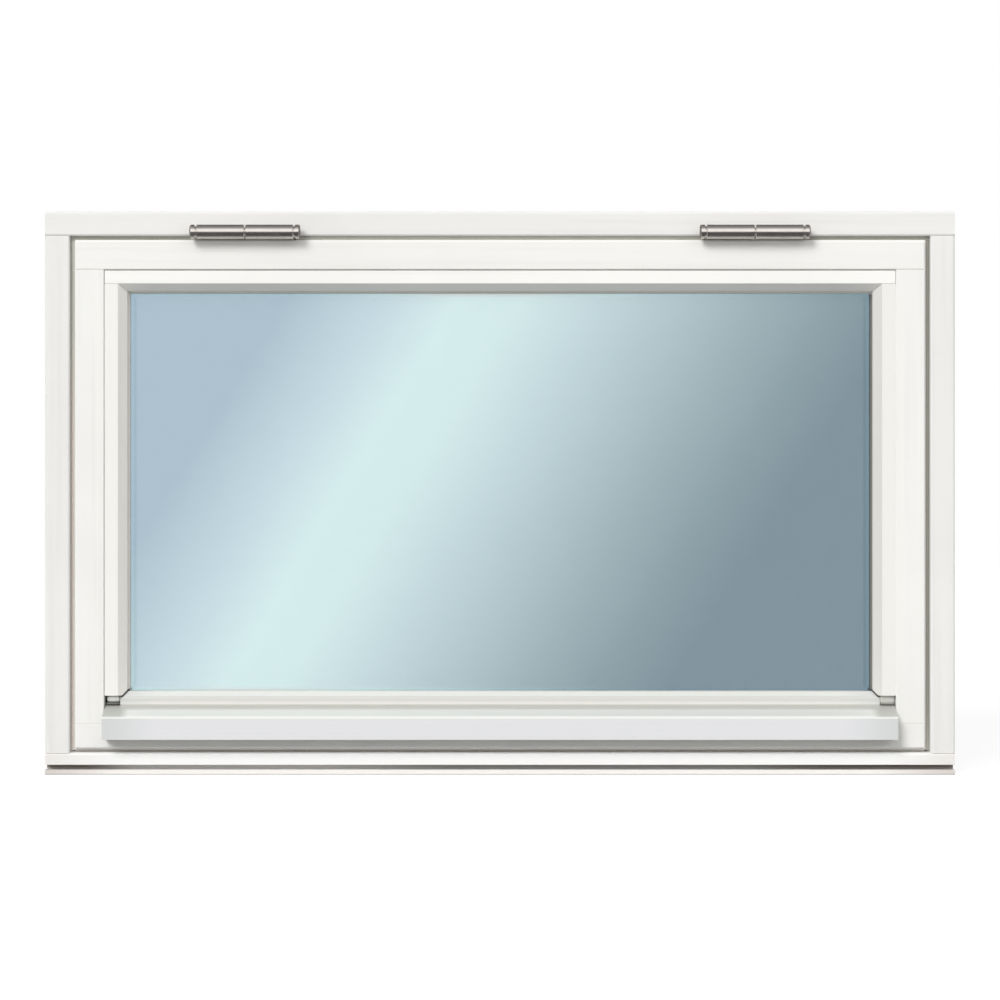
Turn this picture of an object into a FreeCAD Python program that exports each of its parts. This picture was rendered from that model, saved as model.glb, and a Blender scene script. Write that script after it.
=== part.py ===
"""Top hung awning window in painted timber: an outer frame, and a glazed sash hung from the frame's head.

The sash lies in a rebate on the weather side of the frame and hangs from two barrel hinges. Timber beads hold
the glass on three sides, and an aluminium profile with a drip nose holds it along the bottom.
Millimetres. X runs along the sill, Y from the weather side to the room, Z up. The origin is on the underside
of the sill, in the middle of its length and of the frame's depth.
"""

import math
import os

import FreeCAD
import Part
from FreeCAD import Vector

# Frame
FRAME_WIDTH = 788.0
FRAME_HEIGHT = 488.0
FRAME_DEPTH = 115.0
FRAME_FACE = 21.3  # what shows of the head and the jambs from outside
SILL_FACE = 18.5  # height of the sill's front face
SILL_FALL_DEG = 9.0  # the sill's top falls towards the weather
STOP_LAP = 14.0  # the frame's stop covers this much of the sash's back
SILL_STOP_LAP = 8.0
SASH_GAP = 4.3  # open joint beside the sash
HEAD_GAP = 3.4  # and above it
SILL_GAP = 3.6  # and under it
REBATE_STEP_SETBACK = 8.0  # under the head and beside the jambs the joint narrows this far behind the face
STEP_CLEARANCE = 1.8  # to this much
SEAL_ROOM = 5.0  # between the sash's back and the stop
OUTER_ARRIS = 2.0
INNER_ARRIS = 1.0
ROOM_ARRIS = 3.0
FLASHING_GROOVE_HEIGHT = 4.4
FLASHING_GROOVE_DEPTH = 10.0
FLASHING_GROOVE_Z = 4.3  # underside of the groove, above the sill's underside
FIXING_HOLE_RADIUS = 7.0
FIXING_INSET = 120.0  # from the frame's top and bottom edges

# Sash
SASH_DEPTH = 58.0
STILE_FACE = 25.4
TOP_RAIL_FACE = 25.8
BOTTOM_RAIL_FACE = 22.4
REBATE_WIDTH = 20.7  # from the sash's face to the edge of the visible glass, at the sides
TOP_REBATE_WIDTH = 19.6  # and at the top
REBATE_FALL_DEG = 8.0  # the rebate's floor drains towards the weather
BOTTOM_SIGHT_HEIGHT = 49.6  # from the sash's lower front edge to the visible glass
DRIP_THROAT = 4.0
DRIP_THROAT_SETBACK = 8.0

# Glazing
PANE_THICKNESS = 4.0
CAVITY = 16.0
GLASS_COVER = 14.0  # glass hidden behind beads and lips
GLASS_SETBACK = 18.0  # from the sash's face to the outer pane
GASKET_THICKNESS = 3.0
GASKET_SHOW = 1.8  # the gasket shows this much inside the bead
TAPE_THICKNESS = 2.0
SPACER_HEIGHT = 6.5
SEALANT_HEIGHT = 5.5
BEAD_RECESS = 1.5
BEAD_FRONT = 11.5
BEAD_SLOPE_DEPTH = 8.0
BEAD_ARRIS = 1.0
BEAD_JOINT = 0.3
BEAD_FOOT_GAP = 1.5  # between the drip profile's hook and the side beads' lower ends
BLOCK_LENGTH = 90.0
BLOCK_INSET = 110.0  # from the end of the glass to the middle of a setting block

# Drip profile
PROFILE_WALL = 2.0
NOSE_REACH = 16.0  # in front of the sash's face
NOSE_FRONT_HEIGHT = 20.6
NOSE_ROOT_DROP = 11.0  # from the visible glass down to the root of the nose
NOSE_TOP_FALL = 9.4
WEB_SETBACK = 12.0  # from the sash's face to the middle of the web
HOOK_CREST_SETBACK = 10.5  # the hook's top is level behind the crest and slopes before it
HOOK_SLOPE_DEG = 45.0
HOOK_FACE_SETBACK = 5.6
HOOK_HEIGHT = 12.6  # down to inside the nose's wall
FOOT_REACH = 9.0  # in front of the web
PROFILE_BEND = 0.8
PROFILE_END_GAP = 0.5
END_CAP_THICKNESS = 1.5
END_CAP_CLEARANCE = 0.3

# Weather seals
SEAL_WIDTH = 7.0
SEAL_CLEARANCE = 0.3
SEAL_INSET = 3.0  # from the edge of the stop
SEAL_EDGE_RADIUS = 2.0

# Hinges
HINGE_INSET = 174.0  # from the frame's side to the middle of a hinge
HINGE_LENGTH = 95.0
BARREL_RADIUS = 6.25
BARREL_STANDOFF = 1.75  # between the barrel and the sash's face
LEAF_THICKNESS = 2.0
LEAF_REACH = 32.0
LEAF_BARREL_CLEARANCE = 2.5
LEAF_HOUSING_ROOM = 1.0  # round the leaves, where the head is cut out for them
KNUCKLE_GAP = 0.9
KNUCKLE_EDGE = 0.4
PIN_RADIUS = 3.5
PIN_CLEARANCE = 0.05
PIN_END_CLEARANCE = 0.15
CAP_LENGTH = 4.2
CAP_EDGE = 1.0
CAP_NECK_LENGTH = 1.5
CAP_NECK_RADIUS = 5.0

# Handle
HANDLE_PLATE_LENGTH = 72.0
HANDLE_PLATE_HEIGHT = 24.0
HANDLE_PLATE_THICKNESS = 8.0
HANDLE_PLATE_CORNER = 11.0
HANDLE_PLATE_EDGE = 1.5
HANDLE_COLLAR_RADIUS = 10.0
HANDLE_COLLAR_LENGTH = 3.0
HANDLE_STANDOFF = 22.0  # from the plate to the middle of the lever
HANDLE_LENGTH = 118.0
HANDLE_INNER_BEND = 8.0
GRIP_HEIGHT = 13.0
GRIP_DEPTH = 11.0
GRIP_EDGE = 2.8
GRIP_TIP = 4.5
HANDLE_DROP = 14.0  # from the visible glass down to the handle's axis

# Places that follow from the sizes above
OUT_Y = -FRAME_DEPTH / 2
ROOM_Y = FRAME_DEPTH / 2
STEP_Y = OUT_Y + REBATE_STEP_SETBACK
STOP_Y = OUT_Y + SASH_DEPTH + SEAL_ROOM
SASH_BACK_Y = OUT_Y + SASH_DEPTH
FRAME_HALF = FRAME_WIDTH / 2
STOP_WIDTH = FRAME_FACE + SASH_GAP + STOP_LAP
SASH_HALF = FRAME_HALF - FRAME_FACE - SASH_GAP
SASH_TOP = FRAME_HEIGHT - FRAME_FACE - HEAD_GAP
SILL_FALL = math.tan(math.radians(SILL_FALL_DEG))
SASH_BOTTOM = SILL_FACE + SILL_GAP / math.cos(math.radians(SILL_FALL_DEG))
SASH_BOTTOM_BACK = SASH_BOTTOM + SASH_DEPTH * SILL_FALL
SILL_STOP_TOP = SASH_BOTTOM_BACK + SILL_STOP_LAP
REBATE_HALF = SASH_HALF - STILE_FACE
REBATE_TOP = SASH_TOP - TOP_RAIL_FACE
REBATE_FALL = math.tan(math.radians(REBATE_FALL_DEG))
SIGHT_HALF = REBATE_HALF - REBATE_WIDTH
SIGHT_TOP = REBATE_TOP - TOP_REBATE_WIDTH
SIGHT_BOTTOM = SASH_BOTTOM + BOTTOM_SIGHT_HEIGHT
GLASS_HALF = SIGHT_HALF + GLASS_COVER
GLASS_TOP = SIGHT_TOP + GLASS_COVER
GLASS_BOTTOM = SIGHT_BOTTOM - GLASS_COVER
GLASS_Y = OUT_Y + GLASS_SETBACK
INNER_PANE_Y = GLASS_Y + PANE_THICKNESS + CAVITY
GLASS_BACK_Y = INNER_PANE_Y + PANE_THICKNESS
LIP_Y = GLASS_BACK_Y + TAPE_THICKNESS
GASKET_Y = GLASS_Y - GASKET_THICKNESS
BEAD_Y = OUT_Y + BEAD_RECESS
BEAD_EDGE_HALF = SIGHT_HALF + GASKET_SHOW
BEAD_EDGE_TOP = SIGHT_TOP + GASKET_SHOW
NOSE_ROOT_Z = SIGHT_BOTTOM - NOSE_ROOT_DROP
WEB_Y = OUT_Y + WEB_SETBACK
HOOK_CREST_Y = OUT_Y + HOOK_CREST_SETBACK
HOOK_FACE_Y = OUT_Y + HOOK_FACE_SETBACK
HOOK_DROP = (HOOK_CREST_Y - HOOK_FACE_Y) * math.tan(math.radians(HOOK_SLOPE_DEG))
PROFILE_HALF = REBATE_HALF - PROFILE_END_GAP - END_CAP_THICKNESS
HINGE_Y = OUT_Y - BARREL_STANDOFF - BARREL_RADIUS
HINGE_Z = SASH_TOP + BARREL_RADIUS
HINGE_OFFSET = FRAME_HALF - HINGE_INSET
BARREL_HALF = HINGE_LENGTH / 2 - CAP_LENGTH - CAP_NECK_LENGTH


def rounded_face(corners, place):
    """A flat face through corners (u, v, radius): straight runs, and an arc of that radius at each corner."""
    points = [place(u, v) for u, v, radius in corners]
    spans = []
    for i, corner in enumerate(points):
        radius = corners[i][2]
        if radius <= 0:
            spans.append((corner, None, corner))
            continue
        back = (points[i - 1] - corner).normalize()
        ahead = (points[(i + 1) % len(points)] - corner).normalize()
        half_angle = back.getAngle(ahead) / 2
        reach = radius / math.tan(half_angle)
        inward = (back + ahead).normalize()
        middle = corner + inward * (radius / math.sin(half_angle) - radius)
        spans.append((corner + back * reach, middle, corner + ahead * reach))
    edges = []
    for i, (start, middle, stop) in enumerate(spans):
        if middle is not None:
            edges.append(Part.Arc(start, middle, stop).toShape())
        following = spans[(i + 1) % len(spans)][0]
        if stop.distanceToPoint(following) > 1e-6:
            edges.append(Part.LineSegment(stop, following).toShape())
    return Part.Face(Part.Wire(edges))


def bar_along_x(corners, start, stop):
    """A bar along X whose section has corners (y, z, radius)."""
    face = rounded_face(corners, lambda y, z: Vector(start, y, z))
    return face.extrude(Vector(stop - start, 0, 0))


def bar_along_y(corners, start, stop):
    """A bar along Y whose section has corners (x, z, radius)."""
    face = rounded_face(corners, lambda x, z: Vector(x, start, z))
    return face.extrude(Vector(0, stop - start, 0))


def bar_along_z(corners, start, stop):
    """A bar along Z whose section has corners (x, y, radius)."""
    face = rounded_face(corners, lambda x, y: Vector(x, y, start))
    return face.extrude(Vector(0, 0, stop - start))


def block(low, high):
    """A plain block between two opposite corners."""
    low, high = Vector(*low), Vector(*high)
    size = high - low
    return Part.makeBox(size.x, size.y, size.z, low)


def turned(corners, centre):
    """A piece turned about a line along X through centre: corners are (x, distance from the line, radius)."""
    face = rounded_face(corners, lambda x, r: centre + Vector(x, 0, r))
    return face.revolve(centre, Vector(1, 0, 0), 360)


def mirrored(shape):
    """The same piece on the other side of the window's middle."""
    return shape.mirror(Vector(0, 0, 0), Vector(1, 0, 0))


def squared(corners):
    """The same section with every corner sharp, as a mating piece is scribed to it."""
    return [(u, v, 0) for u, v, radius in corners]


def wall_section(path, thickness, bend):
    """The outline of a sheet of one thickness along a path of (u, v) points, with rounded bends."""
    normals = []
    for (u0, v0), (u1, v1) in zip(path, path[1:]):
        length = math.hypot(u1 - u0, v1 - v0)
        normals.append((-(v1 - v0) / length, (u1 - u0) / length))
    left, right = [], []
    for i, (u, v) in enumerate(path):
        before = normals[max(i - 1, 0)]
        after = normals[min(i, len(normals) - 1)]
        share = 1 + before[0] * after[0] + before[1] * after[1]
        du = (before[0] + after[0]) / share * thickness / 2
        dv = (before[1] + after[1]) / share * thickness / 2
        turn = before[0] * after[1] - before[1] * after[0]
        ends = i in (0, len(path) - 1)
        left_radius = 0 if ends else bend + (thickness if turn < 0 else 0)
        right_radius = 0 if ends else bend + (thickness if turn > 0 else 0)
        left.append((u + du, v + dv, left_radius))
        right.append((u - du, v - dv, right_radius))
    return left + right[::-1]


def rebate_floor_z(y):
    """Height of the bottom rail's draining rebate floor at a depth."""
    return SASH_BOTTOM + BOTTOM_RAIL_FACE + (y - OUT_Y) * REBATE_FALL


# Outer frame


def head_section():
    top, face = FRAME_HEIGHT, FRAME_HEIGHT - FRAME_FACE
    step, stop = SASH_TOP + STEP_CLEARANCE, FRAME_HEIGHT - STOP_WIDTH
    return [
        (OUT_Y, top, OUTER_ARRIS),
        (OUT_Y, face, OUTER_ARRIS),
        (STEP_Y, face, 0),
        (STEP_Y, step, INNER_ARRIS),
        (STOP_Y, step, 0),
        (STOP_Y, stop, INNER_ARRIS),
        (ROOM_Y, stop, ROOM_ARRIS),
        (ROOM_Y, top, INNER_ARRIS),
    ]


def sill_section():
    groove_top = FLASHING_GROOVE_Z + FLASHING_GROOVE_HEIGHT
    groove_y = OUT_Y + FLASHING_GROOVE_DEPTH
    return [
        (OUT_Y, 0, INNER_ARRIS),
        (OUT_Y, FLASHING_GROOVE_Z, 0),
        (groove_y, FLASHING_GROOVE_Z, 0),
        (groove_y, groove_top, 0),
        (OUT_Y, groove_top, 0),
        (OUT_Y, SILL_FACE, OUTER_ARRIS),
        (STOP_Y, SILL_FACE + (STOP_Y - OUT_Y) * SILL_FALL, 0),
        (STOP_Y, SILL_STOP_TOP, INNER_ARRIS),
        (ROOM_Y, SILL_STOP_TOP, ROOM_ARRIS),
        (ROOM_Y, 0, INNER_ARRIS),
    ]


def jamb_section():
    face, stop = -FRAME_HALF + FRAME_FACE, -FRAME_HALF + STOP_WIDTH
    step = -SASH_HALF - STEP_CLEARANCE
    return [
        (-FRAME_HALF, OUT_Y, OUTER_ARRIS),
        (face, OUT_Y, OUTER_ARRIS),
        (face, STEP_Y, 0),
        (step, STEP_Y, INNER_ARRIS),
        (step, STOP_Y, 0),
        (stop, STOP_Y, INNER_ARRIS),
        (stop, ROOM_Y, ROOM_ARRIS),
        (-FRAME_HALF, ROOM_Y, INNER_ARRIS),
    ]


def leaf_housing(x):
    """What is cut from the head for a hinge: the frame leaf is let in flush, the step clears the other."""
    half = BARREL_HALF + LEAF_HOUSING_ROOM
    back_y = OUT_Y + LEAF_REACH + LEAF_HOUSING_ROOM
    return block((x - half, OUT_Y, SASH_TOP), (x + half, back_y, FRAME_HEIGHT - FRAME_FACE + LEAF_THICKNESS))


def frame_pieces():
    """Head and sill run the full width. The jambs stand between them, scribed to both."""
    head = bar_along_x(head_section(), -FRAME_HALF, FRAME_HALF)
    for x in (-HINGE_OFFSET, HINGE_OFFSET):
        head = head.cut(leaf_housing(x))
    sill = bar_along_x(sill_section(), -FRAME_HALF, FRAME_HALF)
    jamb = bar_along_z(jamb_section(), 0, FRAME_HEIGHT)
    sill_outline = [corner for corner in squared(sill_section()) if corner[0] in (OUT_Y, STOP_Y, ROOM_Y)]
    for section in (squared(head_section()), sill_outline):
        jamb = jamb.cut(bar_along_x(section, -FRAME_HALF, FRAME_HALF))
    fixing_y = (STOP_Y + ROOM_Y) / 2
    for z in (FIXING_INSET, FRAME_HEIGHT - FIXING_INSET):
        mouth = Vector(-FRAME_HALF - FRAME_FACE, fixing_y, z)
        jamb = jamb.cut(Part.makeCylinder(FIXING_HOLE_RADIUS, STOP_WIDTH * 2, mouth, Vector(1, 0, 0)))
    return {
        "frame_head": head,
        "frame_sill": sill,
        "frame_left_jamb": jamb,
        "frame_right_jamb": mirrored(jamb),
    }


def seal_pieces():
    """Strips on the weather side of the stop, which the sash closes against."""
    front = SASH_BACK_Y + SEAL_CLEARANCE
    side_outer = -FRAME_HALF + STOP_WIDTH - SEAL_INSET - SEAL_WIDTH
    side_inner = side_outer + SEAL_WIDTH
    top_outer = FRAME_HEIGHT - STOP_WIDTH + SEAL_INSET + SEAL_WIDTH
    top_inner = top_outer - SEAL_WIDTH
    bottom_inner = SILL_STOP_TOP - SEAL_INSET
    bottom_outer = bottom_inner - SEAL_WIDTH

    def across(low, high):
        corners = [
            (front, low, SEAL_EDGE_RADIUS),
            (front, high, SEAL_EDGE_RADIUS),
            (STOP_Y, high, 0),
            (STOP_Y, low, 0),
        ]
        return bar_along_x(corners, side_outer, -side_outer)

    upright = bar_along_z(
        [
            (side_outer, front, SEAL_EDGE_RADIUS),
            (side_inner, front, SEAL_EDGE_RADIUS),
            (side_inner, STOP_Y, 0),
            (side_outer, STOP_Y, 0),
        ],
        bottom_inner,
        top_inner,
    )
    return {
        "head_weather_seal": across(top_inner, top_outer),
        "sill_weather_seal": across(bottom_outer, bottom_inner),
        "left_weather_seal": upright,
        "right_weather_seal": mirrored(upright),
    }


# Sash


def top_rail_section():
    return [
        (OUT_Y, SASH_TOP, OUTER_ARRIS),
        (OUT_Y, REBATE_TOP, INNER_ARRIS),
        (LIP_Y, REBATE_TOP, 0),
        (LIP_Y, SIGHT_TOP, INNER_ARRIS),
        (SASH_BACK_Y, SIGHT_TOP, ROOM_ARRIS),
        (SASH_BACK_Y, SASH_TOP, INNER_ARRIS),
    ]


def bottom_rail_section():
    """Underside falls with the sill and carries a drip throat. The rebate's floor drains to the weather."""
    throat_front = OUT_Y + DRIP_THROAT_SETBACK
    throat_back = throat_front + DRIP_THROAT

    def under(y):
        return SASH_BOTTOM + (y - OUT_Y) * SILL_FALL

    return [
        (OUT_Y, under(OUT_Y), OUTER_ARRIS),
        (throat_front, under(throat_front), 0),
        (throat_front, under(throat_front) + DRIP_THROAT, 0),
        (throat_back, under(throat_back) + DRIP_THROAT, 0),
        (throat_back, under(throat_back), 0),
        (SASH_BACK_Y, under(SASH_BACK_Y), INNER_ARRIS),
        (SASH_BACK_Y, SIGHT_BOTTOM, ROOM_ARRIS),
        (LIP_Y, SIGHT_BOTTOM, INNER_ARRIS),
        (LIP_Y, rebate_floor_z(LIP_Y), 0),
        (OUT_Y, rebate_floor_z(OUT_Y), INNER_ARRIS),
    ]


def stile_section():
    return [
        (-SASH_HALF, OUT_Y, OUTER_ARRIS),
        (-REBATE_HALF, OUT_Y, INNER_ARRIS),
        (-REBATE_HALF, LIP_Y, 0),
        (-SIGHT_HALF, LIP_Y, INNER_ARRIS),
        (-SIGHT_HALF, SASH_BACK_Y, ROOM_ARRIS),
        (-SASH_HALF, SASH_BACK_Y, INNER_ARRIS),
    ]


def sash_plan():
    """The sash seen from above, with the eased upright edges that the rails share with the stiles."""
    plan = [
        (-SASH_HALF, OUT_Y, OUTER_ARRIS),
        (SASH_HALF, OUT_Y, OUTER_ARRIS),
        (SASH_HALF, SASH_BACK_Y, INNER_ARRIS),
        (-SASH_HALF, SASH_BACK_Y, INNER_ARRIS),
    ]
    return bar_along_z(plan, 0, FRAME_HEIGHT)


def sash_pieces():
    """Rails run the full width of the sash. The stiles stand between them, scribed to both."""
    plan = sash_plan()
    stile = bar_along_z(stile_section(), rebate_floor_z(OUT_Y), SASH_TOP)
    plain_depths = (OUT_Y, SASH_BACK_Y, LIP_Y)
    rail_outline = [corner for corner in squared(bottom_rail_section()) if corner[0] in plain_depths]
    for section in (squared(top_rail_section()), rail_outline):
        stile = stile.cut(bar_along_x(section, -SASH_HALF, SASH_HALF))
    return {
        "sash_top_rail": bar_along_x(top_rail_section(), -SASH_HALF, SASH_HALF).common(plan),
        "sash_bottom_rail": bar_along_x(bottom_rail_section(), -SASH_HALF, SASH_HALF).common(plan),
        "sash_left_stile": stile,
        "sash_right_stile": mirrored(stile),
    }


# Glazing


def ring_strips(half, top, bottom, width, y0, y1):
    """Four strips round the glass, cut square: the level ones run through, and the uprights stand between."""
    joint = BEAD_JOINT
    inner = half - width
    strips = [block((-half, y0, z), (half, y1, z + width)) for z in (bottom, top - width)]
    for x in (-half, inner):
        strips.append(block((x, y0, bottom + width + joint), (x + width, y1, top - width - joint)))
    return Part.makeCompound(strips)


def glass_pieces():
    """A sealed double unit: two panes, spacer bars set in from the edge, and sealant behind the bars."""
    pane = block((-GLASS_HALF, GLASS_Y, GLASS_BOTTOM), (GLASS_HALF, GLASS_Y + PANE_THICKNESS, GLASS_TOP))
    inner = pane.translated(Vector(0, PANE_THICKNESS + CAVITY, 0))
    cavity = (GLASS_Y + PANE_THICKNESS, INNER_PANE_Y)
    set_in = SEALANT_HEIGHT
    sealant = ring_strips(GLASS_HALF, GLASS_TOP, GLASS_BOTTOM, SEALANT_HEIGHT, *cavity)
    spacer = ring_strips(
        GLASS_HALF - set_in, GLASS_TOP - set_in, GLASS_BOTTOM + set_in, SPACER_HEIGHT, *cavity
    )
    return {
        "outer_pane": pane,
        "inner_pane": inner,
        "edge_sealant": sealant,
        "spacer_bars": spacer,
    }


def bedding_pieces():
    """Gasket before the glass, tape behind it, and two setting blocks that carry its weight."""
    gasket = ring_strips(
        GLASS_HALF, GLASS_TOP, GLASS_BOTTOM, GLASS_COVER, GASKET_Y, GLASS_Y
    )
    tape = ring_strips(
        GLASS_HALF, GLASS_TOP, GLASS_BOTTOM, GLASS_COVER - GASKET_SHOW, GLASS_BACK_Y, LIP_Y
    )
    section = [
        (GLASS_Y, rebate_floor_z(GLASS_Y), 0),
        (GLASS_BACK_Y, rebate_floor_z(GLASS_BACK_Y), 0),
        (GLASS_BACK_Y, GLASS_BOTTOM, 0),
        (GLASS_Y, GLASS_BOTTOM, 0),
    ]
    middle = GLASS_HALF - BLOCK_INSET
    left = bar_along_x(section, -middle - BLOCK_LENGTH / 2, -middle + BLOCK_LENGTH / 2)
    return {
        "glazing_gasket": gasket,
        "glazing_tape": tape,
        "setting_blocks": Part.makeCompound([left, mirrored(left)]),
    }


def bead_outline(outer, edge, sign):
    """Corners (distance from the middle, y, radius) of a bead between the rebate's wall and the glass."""
    shoulder = outer - sign * BEAD_FRONT
    return [
        (outer, BEAD_Y, BEAD_ARRIS),
        (shoulder, BEAD_Y, BEAD_ARRIS),
        (edge, BEAD_Y + BEAD_SLOPE_DEPTH, 0),
        (edge, GASKET_Y, 0),
        (outer, GASKET_Y, 0),
    ]


def bead_pieces():
    """The top bead runs through. The side beads are scribed under it, and end on a slant above the nose."""
    outer_half = REBATE_HALF - BEAD_JOINT
    outer_top = REBATE_TOP - BEAD_JOINT
    top_section = [(y, z, radius) for z, y, radius in bead_outline(outer_top, BEAD_EDGE_TOP, 1)]
    top = bar_along_x(top_section, -outer_half, outer_half)
    side = bar_along_z(bead_outline(-outer_half, -BEAD_EDGE_HALF, -1), NOSE_ROOT_Z, SASH_TOP)
    lowered = [(y, z - BEAD_JOINT, 0) for y, z, radius in top_section]
    crown = [(BEAD_Y - BEAD_RECESS, SASH_TOP, 0), (GLASS_Y, SASH_TOP, 0)]
    above = [lowered[1], (lowered[1][0] - BEAD_RECESS, lowered[1][1], 0), *crown]
    above += [(GLASS_Y, lowered[3][1], 0), lowered[3], lowered[2]]
    side = side.cut(bar_along_x(above, -SASH_HALF, SASH_HALF))
    crest_z = SIGHT_BOTTOM + BEAD_FOOT_GAP
    foot_z = crest_z - HOOK_DROP
    below = [
        (OUT_Y, NOSE_ROOT_Z, 0),
        (OUT_Y, foot_z, 0),
        (HOOK_FACE_Y, foot_z, 0),
        (HOOK_CREST_Y, crest_z, 0),
        (GLASS_Y, crest_z, 0),
        (GLASS_Y, NOSE_ROOT_Z, 0),
    ]
    side = side.cut(bar_along_x(below, -SASH_HALF, SASH_HALF))
    return {
        "top_glazing_bead": top,
        "left_glazing_bead": side,
        "right_glazing_bead": mirrored(side),
    }


def nose_path():
    """Middle line of the drip nose's wall, from its root on the web to the drip edge."""
    front_y = OUT_Y - NOSE_REACH + PROFILE_WALL / 2
    front_z = NOSE_ROOT_Z - NOSE_TOP_FALL
    edge_z = front_z + PROFILE_WALL / 2 - NOSE_FRONT_HEIGHT
    return [(WEB_Y, NOSE_ROOT_Z), (front_y, front_z), (front_y, edge_z)]


def drip_profile():
    """One aluminium section: foot and web in the rebate, a hook against the glass, and the nose in front."""
    half_wall = PROFILE_WALL / 2
    hook_z = SIGHT_BOTTOM - half_wall
    face_y = HOOK_FACE_Y + half_wall
    bend_shift = half_wall * math.tan(math.radians(HOOK_SLOPE_DEG / 2))
    crest_y = HOOK_CREST_Y + bend_shift
    seat = half_wall / math.cos(math.radians(REBATE_FALL_DEG))
    foot_y = WEB_Y - FOOT_REACH
    hook = [
        (GASKET_Y, hook_z),
        (crest_y, hook_z),
        (face_y, SIGHT_BOTTOM - HOOK_DROP - bend_shift),
        (face_y, SIGHT_BOTTOM - HOOK_HEIGHT),
    ]
    web = [(WEB_Y, hook_z), (WEB_Y, rebate_floor_z(WEB_Y) + seat)]
    foot = [(foot_y, rebate_floor_z(foot_y) + seat), (GASKET_Y, rebate_floor_z(GASKET_Y) + seat)]

    def drawn(path):
        return bar_along_x(wall_section(path, PROFILE_WALL, PROFILE_BEND), -PROFILE_HALF, PROFILE_HALF)

    shoulder = REBATE_HALF - BEAD_JOINT - BEAD_FRONT - BEAD_FOOT_GAP
    notch = block(
        (shoulder, OUT_Y - NOSE_REACH, SASH_BOTTOM),
        (FRAME_HALF, WEB_Y - half_wall, SASH_TOP),
    )
    hook_bar = drawn(hook).cut(notch).cut(mirrored(notch))
    return hook_bar.multiFuse([drawn(path) for path in (nose_path(), web, foot)]).removeSplitter()


def end_cap():
    """A thin plate that closes the left end of the drip nose, in its outline and clear of the bottom rail."""
    path = nose_path()
    outer_side = wall_section(path, PROFILE_WALL, PROFILE_BEND)[len(path) :]
    drip_edge, brow, root = outer_side
    behind_y = OUT_Y - END_CAP_CLEARANCE
    corners = [
        root,
        brow,
        drip_edge,
        (behind_y, drip_edge[1], 0),
        (behind_y, rebate_floor_z(OUT_Y) + END_CAP_CLEARANCE, 0),
        (root[0], rebate_floor_z(root[0]) + END_CAP_CLEARANCE, 0),
    ]
    return bar_along_x(corners, -PROFILE_HALF - END_CAP_THICKNESS, -PROFILE_HALF)


def drip_pieces():
    """The drip profile and a cap on each end of its nose."""
    cap = end_cap()
    return {
        "bottom_drip_profile": drip_profile(),
        "left_drip_end_cap": cap,
        "right_drip_end_cap": mirrored(cap),
    }


# Hinges


def knuckle(start, stop, centre):
    """Half of a hinge barrel, bored for the pin, with eased ends."""
    bore = PIN_RADIUS + PIN_CLEARANCE
    edge = BARREL_RADIUS - KNUCKLE_EDGE
    corners = [
        (start, bore, 0),
        (start, edge, 0),
        (start + KNUCKLE_EDGE, BARREL_RADIUS, 0),
        (stop - KNUCKLE_EDGE, BARREL_RADIUS, 0),
        (stop, edge, 0),
        (stop, bore, 0),
    ]
    return turned(corners, centre)


def leaf(way, centre, low):
    """A leaf behind the barrel, on the sash or let into the head: a neck at its own knuckle, and a plate.

    The knuckle is to the left of the hinge's middle where way is -1, and to the right where it is 1.
    """
    plate_y = HINGE_Y + BARREL_RADIUS + LEAF_BARREL_CLEARANCE
    back_y = OUT_Y + LEAF_REACH
    inner, outer = way * KNUCKLE_GAP / 2, way * BARREL_HALF
    corners = [
        (inner, HINGE_Y, 0),
        (outer, HINGE_Y, 0),
        (outer, back_y, INNER_ARRIS),
        (-outer, back_y, INNER_ARRIS),
        (-outer, plate_y, INNER_ARRIS),
        (inner, plate_y, 0),
    ]
    return bar_along_z(corners, low, low + LEAF_THICKNESS).translated(Vector(centre.x, 0, 0))


def hinge_pieces(side, x):
    """One hinge: the left knuckle on the frame, the right one on the sash, and a pin with turned caps."""
    centre = Vector(x, HINGE_Y, HINGE_Z)
    half = HINGE_LENGTH / 2
    bore = Part.makeCylinder(
        PIN_RADIUS + PIN_CLEARANCE, HINGE_LENGTH, centre - Vector(half, 0, 0), Vector(1, 0, 0)
    )
    leaves = {
        "frame": (-1, FRAME_HEIGHT - FRAME_FACE),
        "sash": (1, SASH_TOP),
    }
    pieces = {}
    for owner, (way, low) in leaves.items():
        start, stop = sorted((way * KNUCKLE_GAP / 2, way * BARREL_HALF))
        solid = knuckle(start, stop, centre).fuse(leaf(way, centre, low)).cut(bore)
        pieces[f"{side}_hinge_{owner}_leaf"] = solid.removeSplitter()
    shoulder = -BARREL_HALF - PIN_END_CLEARANCE
    outline = [
        (-half, 0, 0),
        (-half, BARREL_RADIUS - CAP_EDGE, 0),
        (-half + CAP_EDGE, BARREL_RADIUS, 0),
        (-half + CAP_LENGTH, BARREL_RADIUS, 0),
        (-half + CAP_LENGTH, CAP_NECK_RADIUS, 0),
        (shoulder, CAP_NECK_RADIUS, 0),
        (shoulder, PIN_RADIUS, 0),
    ]
    outline += [(-x_at, r, radius) for x_at, r, radius in reversed(outline)]
    pieces[f"{side}_hinge_pin"] = turned(outline, centre)
    return pieces


# Handle


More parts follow.
